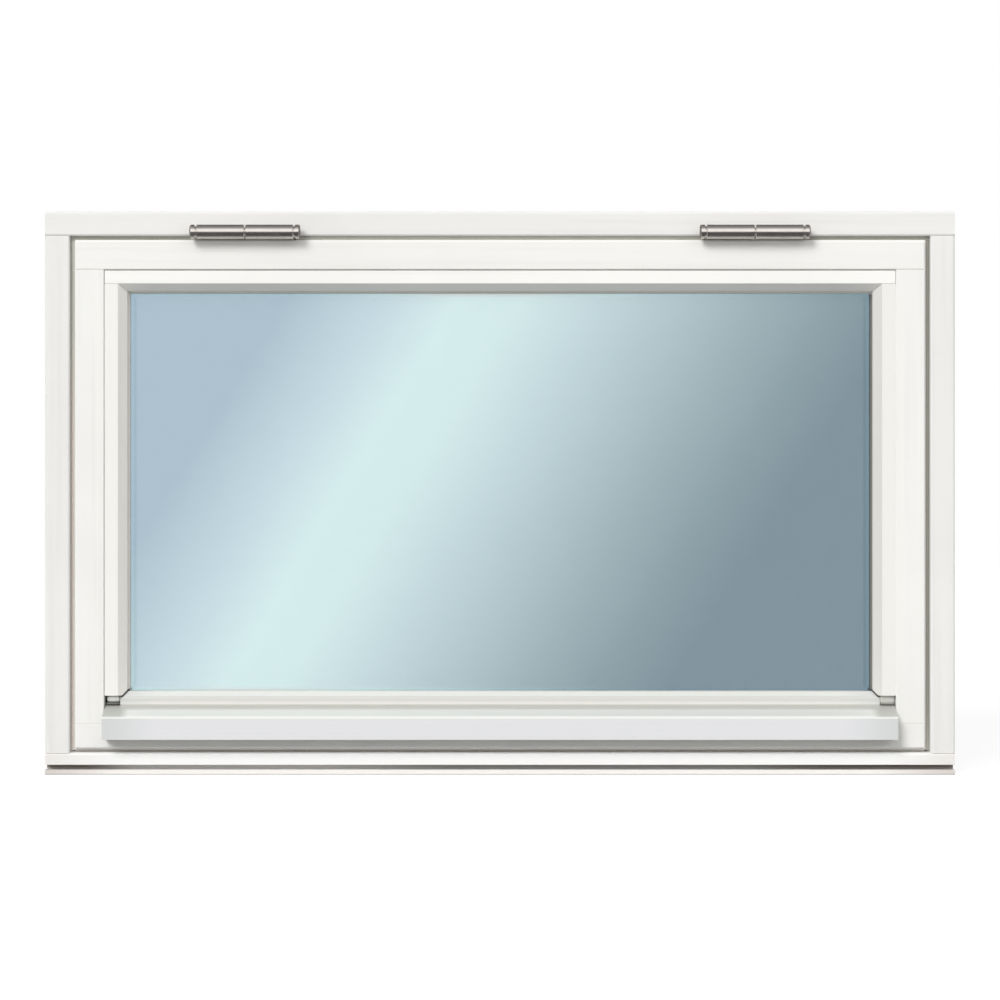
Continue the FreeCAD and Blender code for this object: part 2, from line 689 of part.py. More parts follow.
def handle_pieces():
    """An oblong plate on the bottom rail, and a cranked lever that lies level as when the sash is shut."""
    z = SIGHT_BOTTOM - HANDLE_DROP
    half_length, half_height = HANDLE_PLATE_LENGTH / 2, HANDLE_PLATE_HEIGHT / 2
    plate_y = SASH_BACK_Y + HANDLE_PLATE_THICKNESS
    corners = [
        (-half_length, z - half_height, HANDLE_PLATE_CORNER),
        (half_length, z - half_height, HANDLE_PLATE_CORNER),
        (half_length, z + half_height, HANDLE_PLATE_CORNER),
        (-half_length, z + half_height, HANDLE_PLATE_CORNER),
    ]
    plate = bar_along_y(corners, SASH_BACK_Y, plate_y)
    rim = [edge for edge in plate.Edges if all(abs(v.Y - plate_y) < 1e-6 for v in edge.Vertexes)]
    plate = plate.makeChamfer(HANDLE_PLATE_EDGE, rim)
    half_grip = GRIP_DEPTH / 2
    near, far = plate_y + HANDLE_STANDOFF - half_grip, plate_y + HANDLE_STANDOFF + half_grip
    plan = [
        (-half_grip, plate_y, 0),
        (-half_grip, far, HANDLE_INNER_BEND + GRIP_DEPTH),
        (HANDLE_LENGTH, far, GRIP_TIP),
        (HANDLE_LENGTH, near, GRIP_TIP),
        (half_grip, near, HANDLE_INNER_BEND),
        (half_grip, plate_y, 0),
    ]
    lever = bar_along_z(plan, z - GRIP_HEIGHT / 2, z + GRIP_HEIGHT / 2)
    long_edges = []
    for edge in lever.Edges:
        level = abs(edge.Vertexes[0].Z - edge.Vertexes[-1].Z) < 1e-6
        at_plate = all(abs(v.Y - plate_y) < 1e-6 for v in edge.Vertexes)
        if level and not at_plate:
            long_edges.append(edge)
    lever = lever.makeChamfer(GRIP_EDGE, long_edges)
    collar = Part.makeCylinder(
        HANDLE_COLLAR_RADIUS, HANDLE_COLLAR_LENGTH, Vector(0, plate_y, z), Vector(0, 1, 0)
    )
    return {"handle_plate": plate, "handle_lever": lever.fuse(collar).removeSplitter()}


def main():
    os.makedirs("parts", exist_ok=True)
    pieces = {}
    pieces.update(frame_pieces())
    pieces.update(seal_pieces())
    pieces.update(sash_pieces())
    pieces.update(glass_pieces())
    pieces.update(bedding_pieces())
    pieces.update(bead_pieces())
    pieces.update(drip_pieces())
    pieces.update(hinge_pieces("left", -HINGE_OFFSET))
    pieces.update(hinge_pieces("right", HINGE_OFFSET))
    pieces.update(handle_pieces())
    for name, shape in pieces.items():
        shape.exportStep(f"parts/{name}.step")
        print(f"{name}: {len(shape.Solids)} solid, {shape.Volume / 1000:.1f} cm3, valid {shape.isValid()}")


main()
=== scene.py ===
# %% [markdown]
# # A top hung awning window
# The window is a white painted timber frame with a glazed sash that hangs from two barrel hinges under
# the head. The solids arrive already made, in metres, with the weather side towards -Y and the sill on
# the floor at z = 0. This lesson gives them their finishes, adds the small pieces that a solid model
# leaves out, and sets up a camera and a plain studio. Loading comes first, because every later cell
# measures itself against these solids.

# %% Load the solids, with a way to measure their boxes
import math
import bmesh
import bpy
import numpy as np
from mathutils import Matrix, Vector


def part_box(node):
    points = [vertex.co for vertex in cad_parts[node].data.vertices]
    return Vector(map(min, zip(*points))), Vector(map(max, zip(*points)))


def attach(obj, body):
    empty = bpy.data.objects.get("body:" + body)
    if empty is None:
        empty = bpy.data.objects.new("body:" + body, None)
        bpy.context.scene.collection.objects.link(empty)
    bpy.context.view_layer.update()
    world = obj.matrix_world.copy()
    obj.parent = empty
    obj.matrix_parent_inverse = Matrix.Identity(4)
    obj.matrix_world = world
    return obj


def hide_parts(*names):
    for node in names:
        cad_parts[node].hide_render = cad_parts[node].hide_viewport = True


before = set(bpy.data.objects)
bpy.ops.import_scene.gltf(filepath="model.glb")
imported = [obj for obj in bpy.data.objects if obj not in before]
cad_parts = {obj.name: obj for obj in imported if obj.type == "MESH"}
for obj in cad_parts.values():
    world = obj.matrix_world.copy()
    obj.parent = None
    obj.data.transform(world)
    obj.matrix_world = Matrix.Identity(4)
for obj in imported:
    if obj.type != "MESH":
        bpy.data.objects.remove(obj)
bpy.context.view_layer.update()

# %% [markdown]
# ## The camera
# A catalogue picture of a window is taken square on from well back, so that upright edges stay upright.
# The scale is the one thing to settle: here one pixel covers 0.866 mm at the front face of the frame. A
# lens of focal length f at distance D shrinks that face by f / D, and a pixel on the sensor is 0.036 mm,
# so f follows from D. The little shift lifts the window by 7 pixels and keeps the sight line level, which
# tilting the camera wouldn't.

# %% Camera
MM = 0.001
FACE_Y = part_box("frame_head")[0].y
MID_HEIGHT = 0.244
MM_PER_PIXEL = 0.866
CAMERA_AWAY = 2.25
SENSOR_WIDTH, PICTURE_WIDTH = 36.0, 1000
LIFT = 7

lens = bpy.data.cameras.new("front_view")
lens.sensor_width = SENSOR_WIDTH
lens.lens = SENSOR_WIDTH / PICTURE_WIDTH * CAMERA_AWAY / (MM_PER_PIXEL * MM)
lens.shift_y = -LIFT / PICTURE_WIDTH
camera = bpy.data.objects.new("front_view", lens)
camera.location = (0.0, FACE_Y - CAMERA_AWAY, MID_HEIGHT)
camera.rotation_euler = (math.radians(90), 0.0, 0.0)
bpy.context.scene.collection.objects.link(camera)
bpy.context.scene.camera = camera
print("lens", round(lens.lens, 1), "mm at", CAMERA_AWAY, "m")

# %% [markdown]
# ## Numbers that pass through shader sockets
# A finish is a small sum worked out at every point of a surface: some noise, times a strength, added to a
# colour. Wiring that by hand takes a node for each sign. The class below wraps one socket, so that
# `1 - grain * 0.2` can be written as it stands and adds its own Math nodes. One method makes every other
# kind of node: its settings go on first, because some of them change which sockets there are, and then
# each socket gets a number or a link.

# %% A socket that can do sums
def set_sockets(node, values):
    """Puts numbers, colours or wires on a node's own input sockets."""
    for key, value in values.items():
        if isinstance(value, Wire):
            value.tree.links.new(value.socket, node.inputs[key])
        else:
            node.inputs[key].default_value = value


class Wire:
    """One output socket of a node tree. Arithmetic on it adds Math nodes to the same tree."""

    def __init__(self, tree, socket=None):
        self.tree = tree
        self.socket = socket

    def node(self, kind, settings=None, sockets=None, out=0):
        """Adds a node: settings first, then socket values or links, and gives back output number out."""
        made = self.tree.nodes.new(kind)
        for key, value in (settings or {}).items():
            if key == "stops":
                ramp = made.color_ramp.elements
                for _ in value[2:]:
                    ramp.new(0.5)
                for element, (place, colour) in zip(ramp, value):
                    element.position, element.color = place, (*colour, 1.0)
            else:
                setattr(made, key, value)
        set_sockets(made, sockets or {})
        return Wire(self.tree, made.outputs[out])

    def maths(self, operation, *terms):
        """A Math node with these terms, numbers or wires."""
        return self.node("ShaderNodeMath", {"operation": operation}, dict(enumerate(terms)))

    def __add__(self, other):
        return self.maths("ADD", self, other)

    def __radd__(self, other):
        return self.maths("ADD", other, self)

    def __sub__(self, other):
        return self.maths("SUBTRACT", self, other)

    def __rsub__(self, other):
        return self.maths("SUBTRACT", other, self)

    def __mul__(self, other):
        return self.maths("MULTIPLY", self, other)

    def __rmul__(self, other):
        return self.maths("MULTIPLY", other, self)

    def __gt__(self, other):
        return self.maths("GREATER_THAN", self, other)

    def __lt__(self, other):
        return self.maths("LESS_THAN", self, other)

    def unsigned(self):
        """The same value without its sign."""
        return self.maths("ABSOLUTE", self)

    def larger(self, other):
        """The larger of two values at each point."""
        return self.maths("MAXIMUM", self, other)

    def part(self, letter):
        """One of the three parts of a vector: x, y or z."""
        return self.node("ShaderNodeSeparateXYZ", {}, {"Vector": self}, "xyz".index(letter))

    def stretched(self, scale):
        """The same coordinates, multiplied by scale along x, y and z."""
        return self.node("ShaderNodeMapping", {}, {"Vector": self, "Scale": scale})

    def noise(self, scale, detail=2.0, roughness=0.5):
        """Noise from 0 to 1 at these coordinates."""
        return self.node("ShaderNodeTexNoise", {}, {"Vector": self, "Scale": scale, "Detail": detail,
                                                    "Roughness": roughness})

    def ramp(self, low, high):
        """0 below low, 1 above high, smooth between."""
        return self.node("ShaderNodeMapRange", {"interpolation_type": "SMOOTHSTEP"},
                         {"Value": self, "From Min": low, "From Max": high})

    def blend(self, first, second):
        """Colour first where this wire is 0 and second where it is 1."""
        return self.node("ShaderNodeMix", {"data_type": "RGBA"}, {0: self, 6: first, 7: second}, 2)

    def bump(self, depth, strength=1.0):
        """A normal that tilts as this height, 0 to 1 for depth metres, goes up and down."""
        return self.node("ShaderNodeBump", {}, {"Height": self, "Distance": depth, "Strength": strength})


print("a wire can do:", [name for name in vars(Wire) if not name.startswith("_")])

# %% Start a finish
def start_finish(name):
    """A new material with an empty Principled shader, and the wire of its Object coordinates."""
    material = bpy.data.materials.new(name)
    material.use_nodes = True
    tree = material.node_tree
    coordinates = Wire(tree).node("ShaderNodeTexCoord", {}, {}, "Object")
    return material, tree.nodes["Principled BSDF"], coordinates


def linear(red, green, blue):
    """A colour as a screen shows it, 0 to 255, as the linear values that shaders work in."""
    share = np.array([red, green, blue]) / 255.0
    value = np.where(share <= 0.04045, share / 12.92, ((share + 0.055) / 1.055) ** 2.4)
    return (*map(float, value), 1.0)


print("a screen's 240 is", round(linear(240, 240, 240)[0], 3), "to a shader")

# %% [markdown]
# ## The studio
# A white window on white needs light with a direction, or its edges vanish. A broad soft lamp stands high
# to the left in front and draws the shadows. A weaker one on the right opens up the sides that the first
# leaves dull, a third lights the room side from behind, and an even dome fills the rest. They are set so
# that a paint written as 240 comes out near 240. The camera sees the dome as plain white. Metal and glass
# mirror that white too, except for darker places overhead, low in front, to the sides and behind, as in a
# real room with a ceiling, a floor and walls: a steel bar that mirrors only white looks like white paint.

# %% Lamps
LAMPS = [("soft_lamp", 2.17, 26, (-0.52, -1.0, 0.76)),
         ("side_lamp", 0.45, 50, (0.75, -1.0, 0.80)),
         ("room_lamp", 1.55, 40, (0.35, 1.0, 0.30))]

scene = bpy.context.scene
scene.view_settings.view_transform = "Standard"

for name, strength, spread, stands in LAMPS:
    sun = bpy.data.lights.new(name, "SUN")
    sun.energy = strength
    sun.angle = math.radians(spread)
    lamp = bpy.data.objects.new(name, sun)
    across, out, up = np.array(stands) / np.linalg.norm(stands)
    lamp.rotation_euler = (math.acos(up), 0.0, math.atan2(out, across) + math.radians(90))
    lamp.visible_glossy = False
    scene.collection.objects.link(lamp)
print("lamps", [strength for _, strength, _, _ in LAMPS])

# %% Dome
WHITE = (1.0, 1.0, 1.0, 1.0)
DOME_STRENGTH = 0.43
CEILING_DARK, FLOOR_DARK, SIDES_DARK, BEHIND_DARK = 0.75, 0.94, 0.6, 0.45
DARKEST = 0.06

world = bpy.data.worlds.new("studio_dome")
world.use_nodes = True
scene.world = world
dome = Wire(world.node_tree)
way = dome.node("ShaderNodeTexCoord", {}, {}, "Generated")
sideways = way.part("x").unsigned()
overhead = way.part("z").ramp(0.47, 0.92)
low_down = (0 - way.part("z")).ramp(0.06, 0.21)
in_front = (1 - sideways.ramp(0.25, 0.45)) * (1 - way.part("y").ramp(-0.41, 0.83))
at_sides = sideways.ramp(0.60, 0.90)
behind = way.part("y").ramp(0.1, 0.5)
darker = (overhead * CEILING_DARK + low_down * in_front * FLOOR_DARK
          + at_sides * SIDES_DARK + behind * BEHIND_DARK)
is_camera, is_through, is_glossy = (dome.node("ShaderNodeLightPath", {}, {}, f"Is {ray} Ray")
                                    for ray in ("Camera", "Transmission", "Glossy"))
fill = dome.node("ShaderNodeBackground", {}, {"Color": WHITE, "Strength": DOME_STRENGTH})
plain = dome.node("ShaderNodeBackground", {}, {"Color": WHITE, "Strength": 1.0})
mirror = dome.node("ShaderNodeBackground", {}, {"Color": WHITE, "Strength": (1 - darker).larger(DARKEST)})
lighting = dome.node("ShaderNodeMixShader", {}, {0: is_glossy, 1: fill, 2: mirror})
shown = dome.node("ShaderNodeMixShader", {}, {0: is_camera + is_through, 1: lighting, 2: plain})
set_sockets(world.node_tree.nodes["World Output"], {"Surface": shown})
print("dome", DOME_STRENGTH)

# %% [markdown]
# ## The floor
# The window stands on a pale floor that runs out under the camera. To the camera the floor is mostly its
# own white, with a share of real shading so that the window's shadow stays on it. To everything else it
# is a mid grey, because a white floor would throw so much light back up that the undersides of the beads
# would lose their shade.

# %% Floor
FLOOR_HALF = 6.0
FLOOR_GREY, FLOOR_PALE = (0.46, 0.46, 0.46, 1), (0.9, 0.9, 0.9, 1)
OWN_WHITE, OWN_SHARE = 1.06, 0.78

floor_corners = [(x * FLOOR_HALF, y * FLOOR_HALF, 0.0) for x, y in ((-1, -1), (1, -1), (1, 1), (-1, 1))]
floor_mesh = bpy.data.meshes.new("studio_floor")
floor_mesh.from_pydata(floor_corners, [], [(0, 1, 2, 3)])
studio_floor = bpy.data.objects.new("studio_floor", floor_mesh)
scene.collection.objects.link(studio_floor)
studio_floor.visible_glossy = False

pale_floor, floor_shader, at = start_finish("pale_floor")
set_sockets(floor_shader, {"Base Color": FLOOR_GREY, "Roughness": 0.9, "Specular IOR Level": 0.0})
bounced = Wire(pale_floor.node_tree, floor_shader.outputs[0])
shaded = at.node("ShaderNodeBsdfDiffuse", {}, {"Color": FLOOR_PALE})
own_white = at.node("ShaderNodeEmission", {}, {"Color": WHITE, "Strength": OWN_WHITE})
as_seen = at.node("ShaderNodeMixShader", {}, {0: OWN_SHARE, 1: shaded, 2: own_white})
to_camera = at.node("ShaderNodeLightPath", {}, {}, "Is Camera Ray")
floor_mix = at.node("ShaderNodeMixShader", {}, {0: to_camera, 1: bounced, 2: as_seen})
set_sockets(pale_floor.node_tree.nodes["Material Output"], {"Surface": floor_mix})
floor_mesh.materials.append(pale_floor)
print("floor", 2 * FLOOR_HALF, "m square")

# %% [markdown]
# ## Painted timber
# The frame, the sash and the beads are pine under white satin paint. Paint hides the colour of the wood,
# but long grain still telegraphs through it as faint ridges, and the film holds marks of the brush, finer
# still. Both run along a piece of timber, never across it, so there is one finish for the pieces that lie
# along X and one for those that stand along Z: the same noise, stretched the other way. The changes of
# tone stay within a few levels.

# %% Painted timber
FRAME_WHITE = linear(236, 235, 232)
SASH_WHITE = linear(242, 241, 237)
BEAD_WHITE = linear(248, 247, 243)
PAINT_FADE = 0.90
PAINT_RELIEF = 0.22 * MM
GRAIN_ALONG, GRAIN_ACROSS = 4.0, 150.0
BRUSH_ALONG, BRUSH_ACROSS = 12.0, 900.0


def lengthways(axis, along, across):
    """Scales that stretch a noise along one axis, "x" or "z"."""
    return (along, across, across) if axis == "x" else (across, across, along)


def faded(colour, share):
    """The same colour, with only a share of its light."""
    return (*(v * share for v in colour[:3]), 1.0)


def painted_timber(name, axis, white):
    """White satin paint whose tone, gloss and bump follow stretched noise along axis."""
    material, shader, at = start_finish(name)
    grain = at.stretched(lengthways(axis, GRAIN_ALONG, GRAIN_ACROSS)).noise(1.0, 3.0, 0.6)
    brush = at.stretched(lengthways(axis, BRUSH_ALONG, BRUSH_ACROSS)).noise(1.0, 1.0)
    cloud = at.noise(9.0, 2.0)
    tone = grain.ramp(0.45, 0.8) * 0.55 + cloud.ramp(0.35, 0.75) * 0.45
    relief = grain * 0.7 + brush * 0.3
    set_sockets(shader, {"Base Color": tone.blend(white, faded(white, PAINT_FADE)),
                         "Roughness": grain * 0.16 + 0.30, "Normal": relief.bump(PAINT_RELIEF, 0.5)})
    return material, shader, at, tone


frame_along = painted_timber("frame_paint_along", "x", FRAME_WHITE)[0]
frame_upright = painted_timber("frame_paint_upright", "z", FRAME_WHITE)[0]
sash_along = painted_timber("sash_paint_along", "x", SASH_WHITE)[0]
sash_upright = painted_timber("sash_paint_upright", "z", SASH_WHITE)[0]
bead_along = painted_timber("bead_paint_along", "x", BEAD_WHITE)[0]
print("paint:", [round(v, 3) for v in SASH_WHITE[:3]])

# %% [markdown]
# ## The side beads
# The side beads slope down to the glass. Their colour carries painted light and shade: the left one's slope
# is painted lighter, and the right one's slope and front are painted darker. Both come from one finish: a
# test on the sign of x tells left from right, and a test on the distance from the middle tells the slope from
# the flat front.

# %% Side bead paint
LEFT_BEAD, RIGHT_BEAD_PAINTED_SHADE = linear(243, 241, 236), linear(238, 236, 231)
LEFT_SLOPE_PAINTED_LIGHT, RIGHT_SLOPE_PAINTED_SHADE = linear(255, 251, 244), linear(228, 226, 221)
BEAD_SLOPE_DEPTH, BEAD_SLOPE_RUN = 8.0 * MM, 7.1 * MM

bead_low, bead_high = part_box("right_glazing_bead")
bead_upright, bead_shader, at, tone = painted_timber("bead_paint_upright", "z", LEFT_BEAD)
on_right_bead = at.part("x") > 0.0
on_bead_slope = at.part("x").unsigned() < bead_low.x + BEAD_SLOPE_RUN
# Painted light on the left bead's slope, painted shade on the right bead's slope and front.
slope_painted_light_and_shade = on_right_bead.blend(LEFT_SLOPE_PAINTED_LIGHT, RIGHT_SLOPE_PAINTED_SHADE)
front_painted_shade = on_right_bead.blend(LEFT_BEAD, RIGHT_BEAD_PAINTED_SHADE)
bead_painted_light_and_shade = on_bead_slope.blend(front_painted_shade, slope_painted_light_and_shade)
set_sockets(bead_shader, {"Base Color": (tone * 0.5).blend(bead_painted_light_and_shade, faded(LEFT_BEAD, PAINT_FADE))})
print("bead slope", round(BEAD_SLOPE_RUN / MM, 1), "mm wide")

# %% [markdown]
# ## The sill
# The sill carries the same paint in a whiter tone, which is painted light that makes up for the shadow of the
# drip above it. It has a narrow groove along its front for the upturned edge of a metal flashing. The
# groove's colour is painted shade: darker along the middle of its height than near its edges, lighter in its
# left part than further right, and darkest towards both ends. The groove's own coordinates pick it out: it is
# the only surface of the sill between two heights, a little way behind the face. The lip under the groove is
# a touch warmer. Towards both ends the sill is a little darker, and the ends of the lip more so.

# %% Sill finish
# The sill's white is painted light that makes up for the drip's shadow on it.
SILL_WHITE_PAINTED_LIGHT, LIP_WHITE = linear(255, 255, 253), linear(251, 246, 241)
SILL_END_DARKER, LIP_END_DARKER = linear(233, 230, 226), linear(212, 206, 199)
GROOVE_SHADE_LEFT, GROOVE_SHADE_RIGHT = linear(232, 230, 228), linear(188, 186, 183)
GROOVE_SHADE_ENDS, GROOVE_EDGE = linear(138, 129, 121), linear(250, 248, 246)
GROOVE_LOW, GROOVE_HIGH = 4.25 * MM, 8.75 * MM
GROOVE_MOUTH, GROOVE_BACK = FACE_Y + 0.9 * MM, FACE_Y + 12 * MM
GROOVE_RIM = 0.6 * MM, 2.2 * MM
SILL_END, SHADED_GROOVE_RIGHT_END, SHADED_GROOVE_LEFT_END, GROOVE_SHADE_STEP = (0.31, 0.40), (0.20, 0.30), (0.31, 0.37), (-0.16, -0.03)

sill_paint, sill_shader, at, tone = painted_timber("sill_paint", "x", SILL_WHITE_PAINTED_LIGHT)
along, back, height = (at.part(letter) for letter in "xyz")
on_lip = height < GROOVE_LOW
# Darker towards both ends of the sill, more so on the lip.
near_end = along.unsigned().ramp(*SILL_END)
white_darker_at_ends = near_end.blend(on_lip.blend(SILL_WHITE_PAINTED_LIGHT, LIP_WHITE), on_lip.blend(SILL_END_DARKER, LIP_END_DARKER))
painted = (tone * 0.15).blend(white_darker_at_ends, faded(SILL_WHITE_PAINTED_LIGHT, PAINT_FADE))
# Painted shade in the groove: darker in its middle, further right and towards both ends.
inside = (height > GROOVE_LOW) * (height < GROOVE_HIGH) * (back > GROOVE_MOUTH) * (back < GROOVE_BACK)
off_middle = (height - (GROOVE_LOW + GROOVE_HIGH) / 2).unsigned().ramp(*GROOVE_RIM)
groove_shaded_end = along.ramp(*SHADED_GROOVE_RIGHT_END).larger((0 - along).ramp(*SHADED_GROOVE_LEFT_END))
groove_painted_shade = along.ramp(*GROOVE_SHADE_STEP).blend(GROOVE_SHADE_LEFT, GROOVE_SHADE_RIGHT)
groove_colour_painted_shade = (off_middle * 0.5).blend(groove_shaded_end.blend(groove_painted_shade, GROOVE_SHADE_ENDS), GROOVE_EDGE)
set_sockets(sill_shader, {"Base Color": inside.blend(painted, groove_colour_painted_shade)})
print("sill groove between", GROOVE_LOW, "and", GROOVE_HIGH)

# %% [markdown]
# ## Aluminium
# The bar along the bottom of the glass is an extrusion, finished in a satin silver-white. An extrusion comes
# through its die with fine lines along its length, so the noise is stretched along X very strongly. Over that
# lies painted light and shade that follows the height: painted shade in the corner between slope and hook
# and, more thinly, on the upper part of the hook's face; the bend over the hook painted darker, where a
# highlight would show, and its top painted lighter. The slope is a little lighter, except at its two ends,
# which carry painted shade from the beads above them, and everything but the slope is a little darker towards
# the ends.

# %% Drip profile finish
SATIN, SATIN_SHADE = linear(242, 242, 243), linear(234, 234, 236)
DRAWN_LINES = (3.0, 1400.0, 1400.0)
HOOK_FACE, HOOK_CREST = FACE_Y + 5.6 * MM, FACE_Y + 10.5 * MM
DRIP_HEIGHTS = {"slope_foot": (49.2, 50.6), "slope_head": (56.0, 58.0), "end_foot": (50.6, 52.2),
                "end_head": (60.0, 61.0), "corner_foot": (55.8, 58.2), "corner_head": (59.9, 60.9),
                "hook_shade_foot": (62.4, 63.6), "hook_shade_head": (64.0, 66.8), "bend_foot": (64.8, 66.0),
                "bend_head": (67.0, 67.9)}
NOSE_END, SHADED_SLOPE_END = (0.29, 0.345), (0.319, 0.329)
HOOK_SHADE_SHARE = 0.42


def drawn_aluminium(name, colour, shade, metallic, roughness):
    """Extruded aluminium: fine lines along X in tone, gloss and bump."""
    material, shader, at = start_finish(name)
    lines = at.stretched(DRAWN_LINES).noise(1.0, 2.0)
    cloud = at.noise(14.0, 2.0)
    set_sockets(shader, {"Base Color": (lines * 0.6 + cloud.ramp(0.3, 0.8) * 0.4).blend(colour, shade),
                         "Metallic": metallic, "Roughness": lines * 0.12 + roughness,
                         "Normal": lines.bump(0.06 * MM, 0.5)})
    return material, shader, at


drip_silver, drip_shader, at = drawn_aluminium("drip_silver", SATIN, SATIN_SHADE, 0.30, 0.36)
above = {place: at.part("z").ramp(low * MM, high * MM) for place, (low, high) in DRIP_HEIGHTS.items()}
from_middle = at.part("x").unsigned()
satin = at.stretched(DRAWN_LINES).noise(1.0, 2.0).blend(SATIN, SATIN_SHADE)
hook_face = above["slope_head"].blend(satin, linear(238, 238, 231))
# Painted light on the hook's top and painted shade on its bend, where a highlight would show.
hook_top_painted_light = above["bend_head"].blend(hook_face, linear(249, 250, 244))
hook_bend = above["bend_foot"] * (1 - above["bend_head"])
bend_painted_shade = hook_bend.blend(hook_top_painted_light, linear(220, 220, 214))
on_slope = above["slope_foot"] * (1 - above["slope_head"])
lighter_slope = on_slope.blend(bend_painted_shade, linear(246, 247, 242))
# Darker towards the ends, except on the slope.
darker_end = from_middle.ramp(*NOSE_END) * (1 - on_slope)
darker_towards_ends = darker_end.blend(lighter_slope, linear(222, 224, 223))
# Painted shade on the slope's two ends, under the beads.
slope_end_painted_shade = from_middle.ramp(*SHADED_SLOPE_END) * above["end_foot"] * (1 - above["end_head"])
with_slope_end_shade = slope_end_painted_shade.blend(darker_towards_ends, linear(203, 205, 198))
# Painted shade in the corner and on the upper part of the hook's face.
on_hook = at.part("y").ramp(HOOK_FACE - 0.6 * MM, HOOK_FACE - 0.2 * MM)
hook_face_painted_shade = on_hook * (1 - above["hook_shade_head"]) * above["hook_shade_foot"]
corner_painted_shade = above["corner_foot"] * (1 - above["corner_head"])
streaks = at.stretched((40.0, 300.0, 300.0)).noise(1.0) * 0.4 + 0.8
painted_shade_in_corner_and_on_hook = (hook_face_painted_shade * HOOK_SHADE_SHARE).larger(corner_painted_shade) * streaks
set_sockets(drip_shader, {"Base Color": painted_shade_in_corner_and_on_hook.blend(with_slope_end_shade, linear(204, 203, 197))})
print("drip profile:", len(DRIP_HEIGHTS), "heights at which its tone changes")

# %% [markdown]
# ## The spacer
# The spacer between the panes is bare aluminium, and a real one has rows of tiny holes that let the
# drying grains inside breathe. Modelling thousands of holes would be wasted, as they are seen through
# glass. A cell pattern with no randomness is a regular lattice of points, and the distance to the nearest
# one draws the holes.

# %% Spacer finish
SPACER_GREY, SPACER_HOLE = linear(222, 224, 225), linear(96, 96, 98)
HOLES_PER_METRE = (330.0, 250.0, 330.0)

spacer_grey, spacer_shader, at = drawn_aluminium("spacer_grey", SPACER_GREY, SPACER_GREY, 0.8, 0.35)
to_hole = at.node("ShaderNodeTexVoronoi", {"feature": "F1"},
                  {"Vector": at.stretched(HOLES_PER_METRE), "Scale": 1.0, "Randomness": 0.0})
hole = 1 - to_hole.ramp(0.10, 0.16)
set_sockets(spacer_shader, {"Base Color": hole.blend(SPACER_GREY, SPACER_HOLE)})
print("spacer holes", round(1000 / HOLES_PER_METRE[0], 1), "mm apart")

# %% [markdown]
# ## Steel hinges and handle
# The hinge barrels are turned and polished. A lathe leaves rings round a bar, so the fine noise is stretched
# the other way here: it changes quickly along X and slowly round the barrel. The rims of the two end caps are
# painted dark and the undersides painted duller: painted shade that keeps their reflections dim. The handle
# is brushed, with its lines along the grip, and satin enough to keep its edges soft.

# %% Steel finishes
LATHE_RINGS, BRUSHED_LINES = (2200.0, 90.0, 90.0), (25.0, 900.0, 900.0)


def turned_steel(name, colour, shade, lines_scale, roughness):
    """Steel whose fine tool marks follow a stretched noise."""
    material, shader, at = start_finish(name)
    marks = at.stretched(lines_scale).noise(1.0, 2.0)
    smear = at.noise(60.0, 3.0)
    bright = (marks * 0.5 + smear * 0.5).blend(colour, shade)
    set_sockets(shader, {"Base Color": bright, "Metallic": 1.0,
                         "Roughness": marks * 0.10 + smear * 0.08 + roughness,
                         "Normal": marks.bump(0.03 * MM, 0.4)})
    return material, shader, at, bright


hinge_low, hinge_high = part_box("right_hinge_pin")
hinge_middle, hinge_half = (hinge_low.x + hinge_high.x) / 2, (hinge_high.x - hinge_low.x) / 2
hinge_polish, hinge_shader, at, bright = turned_steel("hinge_polish", linear(250, 243, 238),
                                                      linear(230, 223, 218), LATHE_RINGS, 0.14)
from_hinge = (at.part("x").unsigned() - hinge_middle).unsigned()
# Painted shade: the rims of the end caps are dark.
rim = from_hinge.ramp(hinge_half - 1.1 * MM, hinge_half - 0.6 * MM)
# Painted shade: the undersides are duller, to keep their reflection dim.
above_shaded_underside = at.part("z").ramp(hinge_low.z + 1.7 * MM, hinge_low.z + 3.0 * MM)
barrel = above_shaded_underside.blend(linear(213, 208, 204), bright)
set_sockets(hinge_shader, {"Base Color": rim.blend(barrel, linear(128, 120, 114))})
handle_brushed = turned_steel("handle_brushed", linear(206, 206, 205), linear(178, 178, 177),
                              BRUSHED_LINES, 0.26)[0]
print("hinge barrels", round(2 * hinge_half / MM, 1), "mm long")

# %% [markdown]
# ## Rubber and plastic
# The weather seals are black rubber, matt, with a faint bloom of pale dust. The tape that beds the glass
# is pale, and the two blocks that carry the glass are grey plastic. All of them hardly show, but a joint
# with something in it takes the light differently from an empty one. One function makes them all, because
# moulded things share a cloudy bloom and a fine skin.

# %% Rubber and plastic finishes
def moulded(name, colour, bloom, roughness):
    """A matt moulded surface with cloudy bloom and a fine skin."""
    material, shader, at = start_finish(name)
    cloud = at.noise(45.0, 4.0, 0.6)
    skin = at.noise(1800.0, 1.0)
    set_sockets(shader, {"Base Color": cloud.ramp(0.4, 0.85).blend(colour, bloom),
                         "Roughness": cloud * 0.2 + roughness, "Normal": skin.bump(0.05 * MM, 0.4)})
    return material, shader, at


seal_black = moulded("seal_black", linear(38, 38, 38), linear(66, 66, 64), 0.55)[0]
tape_pale = moulded("tape_pale", linear(206, 206, 203), linear(222, 222, 218), 0.6)[0]
block_grey = moulded("block_grey", linear(120, 122, 124), linear(146, 147, 148), 0.45)[0]
print("moulded:", [finish.name for finish in (seal_black, tape_pale, block_grey)])

